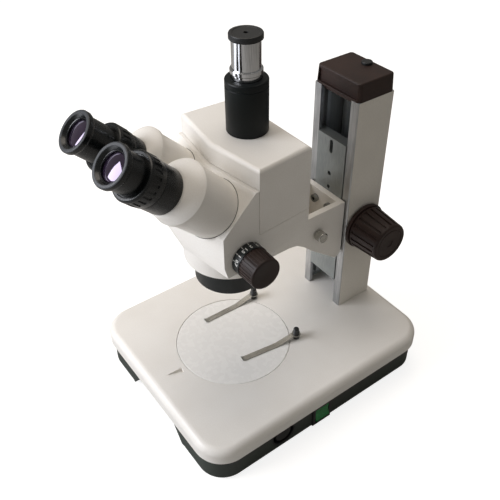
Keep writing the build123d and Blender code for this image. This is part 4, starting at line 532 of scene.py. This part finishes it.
# Faint violet clouds in the lens's dark body: a painted reflection of the coating's violet
# reflex.
painted_reflex_cloud = add(tree, "TexNoise", {"Vector": place, "Scale": 120.0, "Detail": 1.0})
painted_violet_reflex = add(tree, "Mix", {0: painted_reflex_cloud.outputs[0], 6: linear("0B090D"), 7: linear("2A2030")},
           data_type="RGBA")
tree.links.new(painted_violet_reflex.outputs[2], shader.inputs["Base Color"])
shader.inputs["Roughness"].default_value = 0.04
shader.inputs["IOR"].default_value = 1.7
shader.inputs["Specular Tint"].default_value = linear("F0D8FF")
shader.inputs["Coat Weight"].default_value = 1.0
shader.inputs["Coat Roughness"].default_value = 0.02
shader.inputs["Coat Tint"].default_value = linear("F6ECFF")
for name, side in SIDES.items():
    fitted("eye_lens_" + name + "_finish", EYE_LENS, eye_axis(side), 0.0, coated,
           "lens_" + name, "coated_glass", "eye_lens_" + name, segments=64, angle=40)

# Zoom dials and knobs. The knobs are moulded in the brown plastic, with fine ribs and a
# shallow dish in the end, and fixed on the zoom shaft outside the black dials.
ZOOM_AXLE = Vector((0, -21.8, 216.5))
DIAL_START, DIAL_R = 58.65, 15.3
ZOOM_START = 68.05
ZOOM_RIBS = 30
ZOOM_RIB_SHARE = 0.5
ZOOM_GROOVE = 0.6
RIB_LOW, RIB_HIGH = 0.9, 16.0
dressed("zoom_dials", black_anodised, "zoom_drive", "black_anodised", 0.2)
zoom_knob = turned("zoom_knob", [
    (3.1, 0), (14.3, 0), (14.8, 0.5), (14.8, RIB_LOW), (14.55, RIB_HIGH), (14.45, 17.0),
    (14.0, 17.7), (13.1, 18.0), (11.8, 17.9), (8.0, 17.6), (4.0, 17.4), (0.8, 17.3)],
    ZOOM_RIBS * 4)
groove(zoom_knob, ZOOM_RIBS, RIB_LOW, RIB_HIGH, ZOOM_RIB_SHARE, ZOOM_GROOVE)
rounded(zoom_knob, 0.16, angle=24)
both_ends(zoom_knob, ZOOM_AXLE, ZOOM_START, "zoom_drive", "zoom_knobs")

# Zoom figures. Engraved in the dials and filled with matt white enamel: the powers of a
# common zoom range, each with an index stroke at the dial's inner edge.
POWERS = ("0.7", "1", "1.5", "2", "3", "4", "4.5")
FIRST_TURN, NEXT_TURN = 20, 24
FIGURE_SIZE, FIGURE_IN = 4.6, 4.4
STROKE_SIZE, STROKE_IN = 3.4, 0.9
fill_white = grained("white_filling_enamel", "E8E8E4", "D8D8D2", (0.4, 0.5), 0.004, 0.5)
for name, side in SIDES.items():
    marks = []
    for step, power in enumerate(POWERS):
        angle = radians(FIRST_TURN + NEXT_TURN * step)
        outward = Vector((0, -cos(angle), sin(angle)))
        upward = Vector((side, 0, 0))
        turn = Matrix((upward.cross(outward), upward, outward)).transposed().to_4x4()
        for text, size, inset in ((power, FIGURE_SIZE, FIGURE_IN), ("I", STROKE_SIZE, STROKE_IN)):
            bpy.ops.object.select_all(action="DESELECT")
            bpy.ops.object.text_add()
            lettering = bpy.context.object.data
            lettering.body = text
            lettering.align_x = "CENTER"
            lettering.size = size * MM
            lettering.extrude = 0.04 * MM
            lettering.offset = 0.09 * MM
            bpy.ops.object.convert(target="MESH")
            foot = ZOOM_AXLE + upward * (DIAL_START + inset) + outward * DIAL_R
            settle(bpy.context.object, Matrix.Translation(foot * MM) @ turn)
            marks.append(bpy.context.object)
    only(marks[0])
    for mark in marks:
        mark.select_set(True)
    bpy.ops.object.join()
    marks[0].name = "zoom_figures_" + name
    finished(marks[0], fill_white, "zoom_drive", "stage_white")

# Camera tube. A matt black anodised tube screwed to the cover, a sleeve with mirror-bright
# chrome that slides in it, and a black moulded dust cap pushed over the sleeve's end.
TUBE_AXIS = Matrix.Translation((0, 23.2 * MM, 0))
photo_black = grained("matt_black_anodised_aluminium", "060F10", "030809", (0.38, 0.5), 0.004,
                      0.5, gloss=0.25)
# The chrome's light and dark streaks along the sleeve are painted reflections of the room.
chrome = grained("chrome_with_painted_reflection_streaks", "D9DADC", "B4B6B8", (0.08, 0.16), 0.001, 0.7,
                 metallic=1.0, stretch=(1, 1, 0.05))
fitted("photo_tube_finish", [
    (10.0, 285.5), (15.0, 285.5), (15.0, 295.9), (17.8, 295.9), (18.2, 296.4), (18.2, 336.2),
    (17.7, 336.6), (17.7, 337.2), (18.2, 337.6), (18.2, 341.6), (17.7, 342.5), (16.7, 343.0),
    (13.0, 343.0), (12.35, 342.4), (12.35, 311.5), (10.0, 311.5), (10.0, 285.5)],
    TUBE_AXIS, 0.12, photo_black, "head", "black_anodised", "photo_tube")
fitted("photo_sleeve_finish", [
    (10.6, 315.5), (12.3, 315.5), (12.3, 347.5), (13.2, 347.5), (13.6, 348.0), (13.6, 350.8),
    (13.1, 351.5), (12.0, 351.5), (12.0, 377.6), (11.7, 377.9), (10.6, 377.9), (10.6, 315.5)],
    TUBE_AXIS, 0.12, chrome, "camera_tube", "bright_chrome", "photo_sleeve")
fitted("dust_cap_finish", [
    (12.05, 375.0), (13.5, 375.0), (13.9, 375.4), (13.9, 379.0), (13.5, 379.8), (12.6, 380.0),
    (11.0, 380.0), (10.6, 379.6), (2.0, 379.5), (2.0, 378.0), (12.05, 378.0), (12.05, 375.0)],
    TUBE_AXIS, 0.12, black_moulded, "cap", "black_plastic", "dust_cap")

# Inner parts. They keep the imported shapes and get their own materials: zinc-plated
# steel, brass bushes, bare aluminium, a bright reflector, laminate and clear glass.
zinc = grained("zinc_plated_steel", "A9ABA9", "8A8C8A", (0.28, 0.4), 0.004, 0.5, metallic=1.0)
brass = grained("turned_brass", "B99A5A", "A08246", (0.25, 0.36), 0.004, 0.5, metallic=1.0)
milled = grained("bare_milled_aluminium", "BFC1C2", "A0A2A4", (0.3, 0.42), 0.006, 0.6,
                 metallic=1.0)
spun = grained("polished_spun_aluminium", "DCDDDE", "C4C6C8", (0.08, 0.15), 0.002, 0.8,
               metallic=1.0)
laminate = grained("green_glass_epoxy_laminate", "2C5A38", "214A2C", (0.3, 0.42), 0.01, 0.8)
blackened = grained("blackened_screw_steel", "3A3B3C", "2A2B2C", (0.3, 0.42), 0.004, 0.5,
                    metallic=0.8)
glass = grained("ground_optical_glass", "E8EEF0", "DDE5E8", (0.02, 0.05), 0.0005, 1.0)
glass.node_tree.nodes["Principled BSDF"].inputs["Transmission Weight"].default_value = 1.0
INNER = {
    zinc: ("base_fasteners", "bracket_screws", "pinion_shaft", "zoom_shaft", "guide_rods",
           "focus_rack"),
    brass: ("shaft_bushes",),
    milled: ("guide_rails", "lamp_heatsink", "zoom_carrier"),
    spun: ("lamp_reflector",),
    laminate: ("lamp_board", "power_board"),
    black_moulded: ("dimmer_can",),
    blackened: ("cover_screws",),
    glass: ("objective_lenses", "zoom_lenses", "prism_left", "prism_right", "beam_splitter"),
}
for material, names in INNER.items():
    for name in names:
        for holder in nodes[name].material_slots:
            holder.material = material
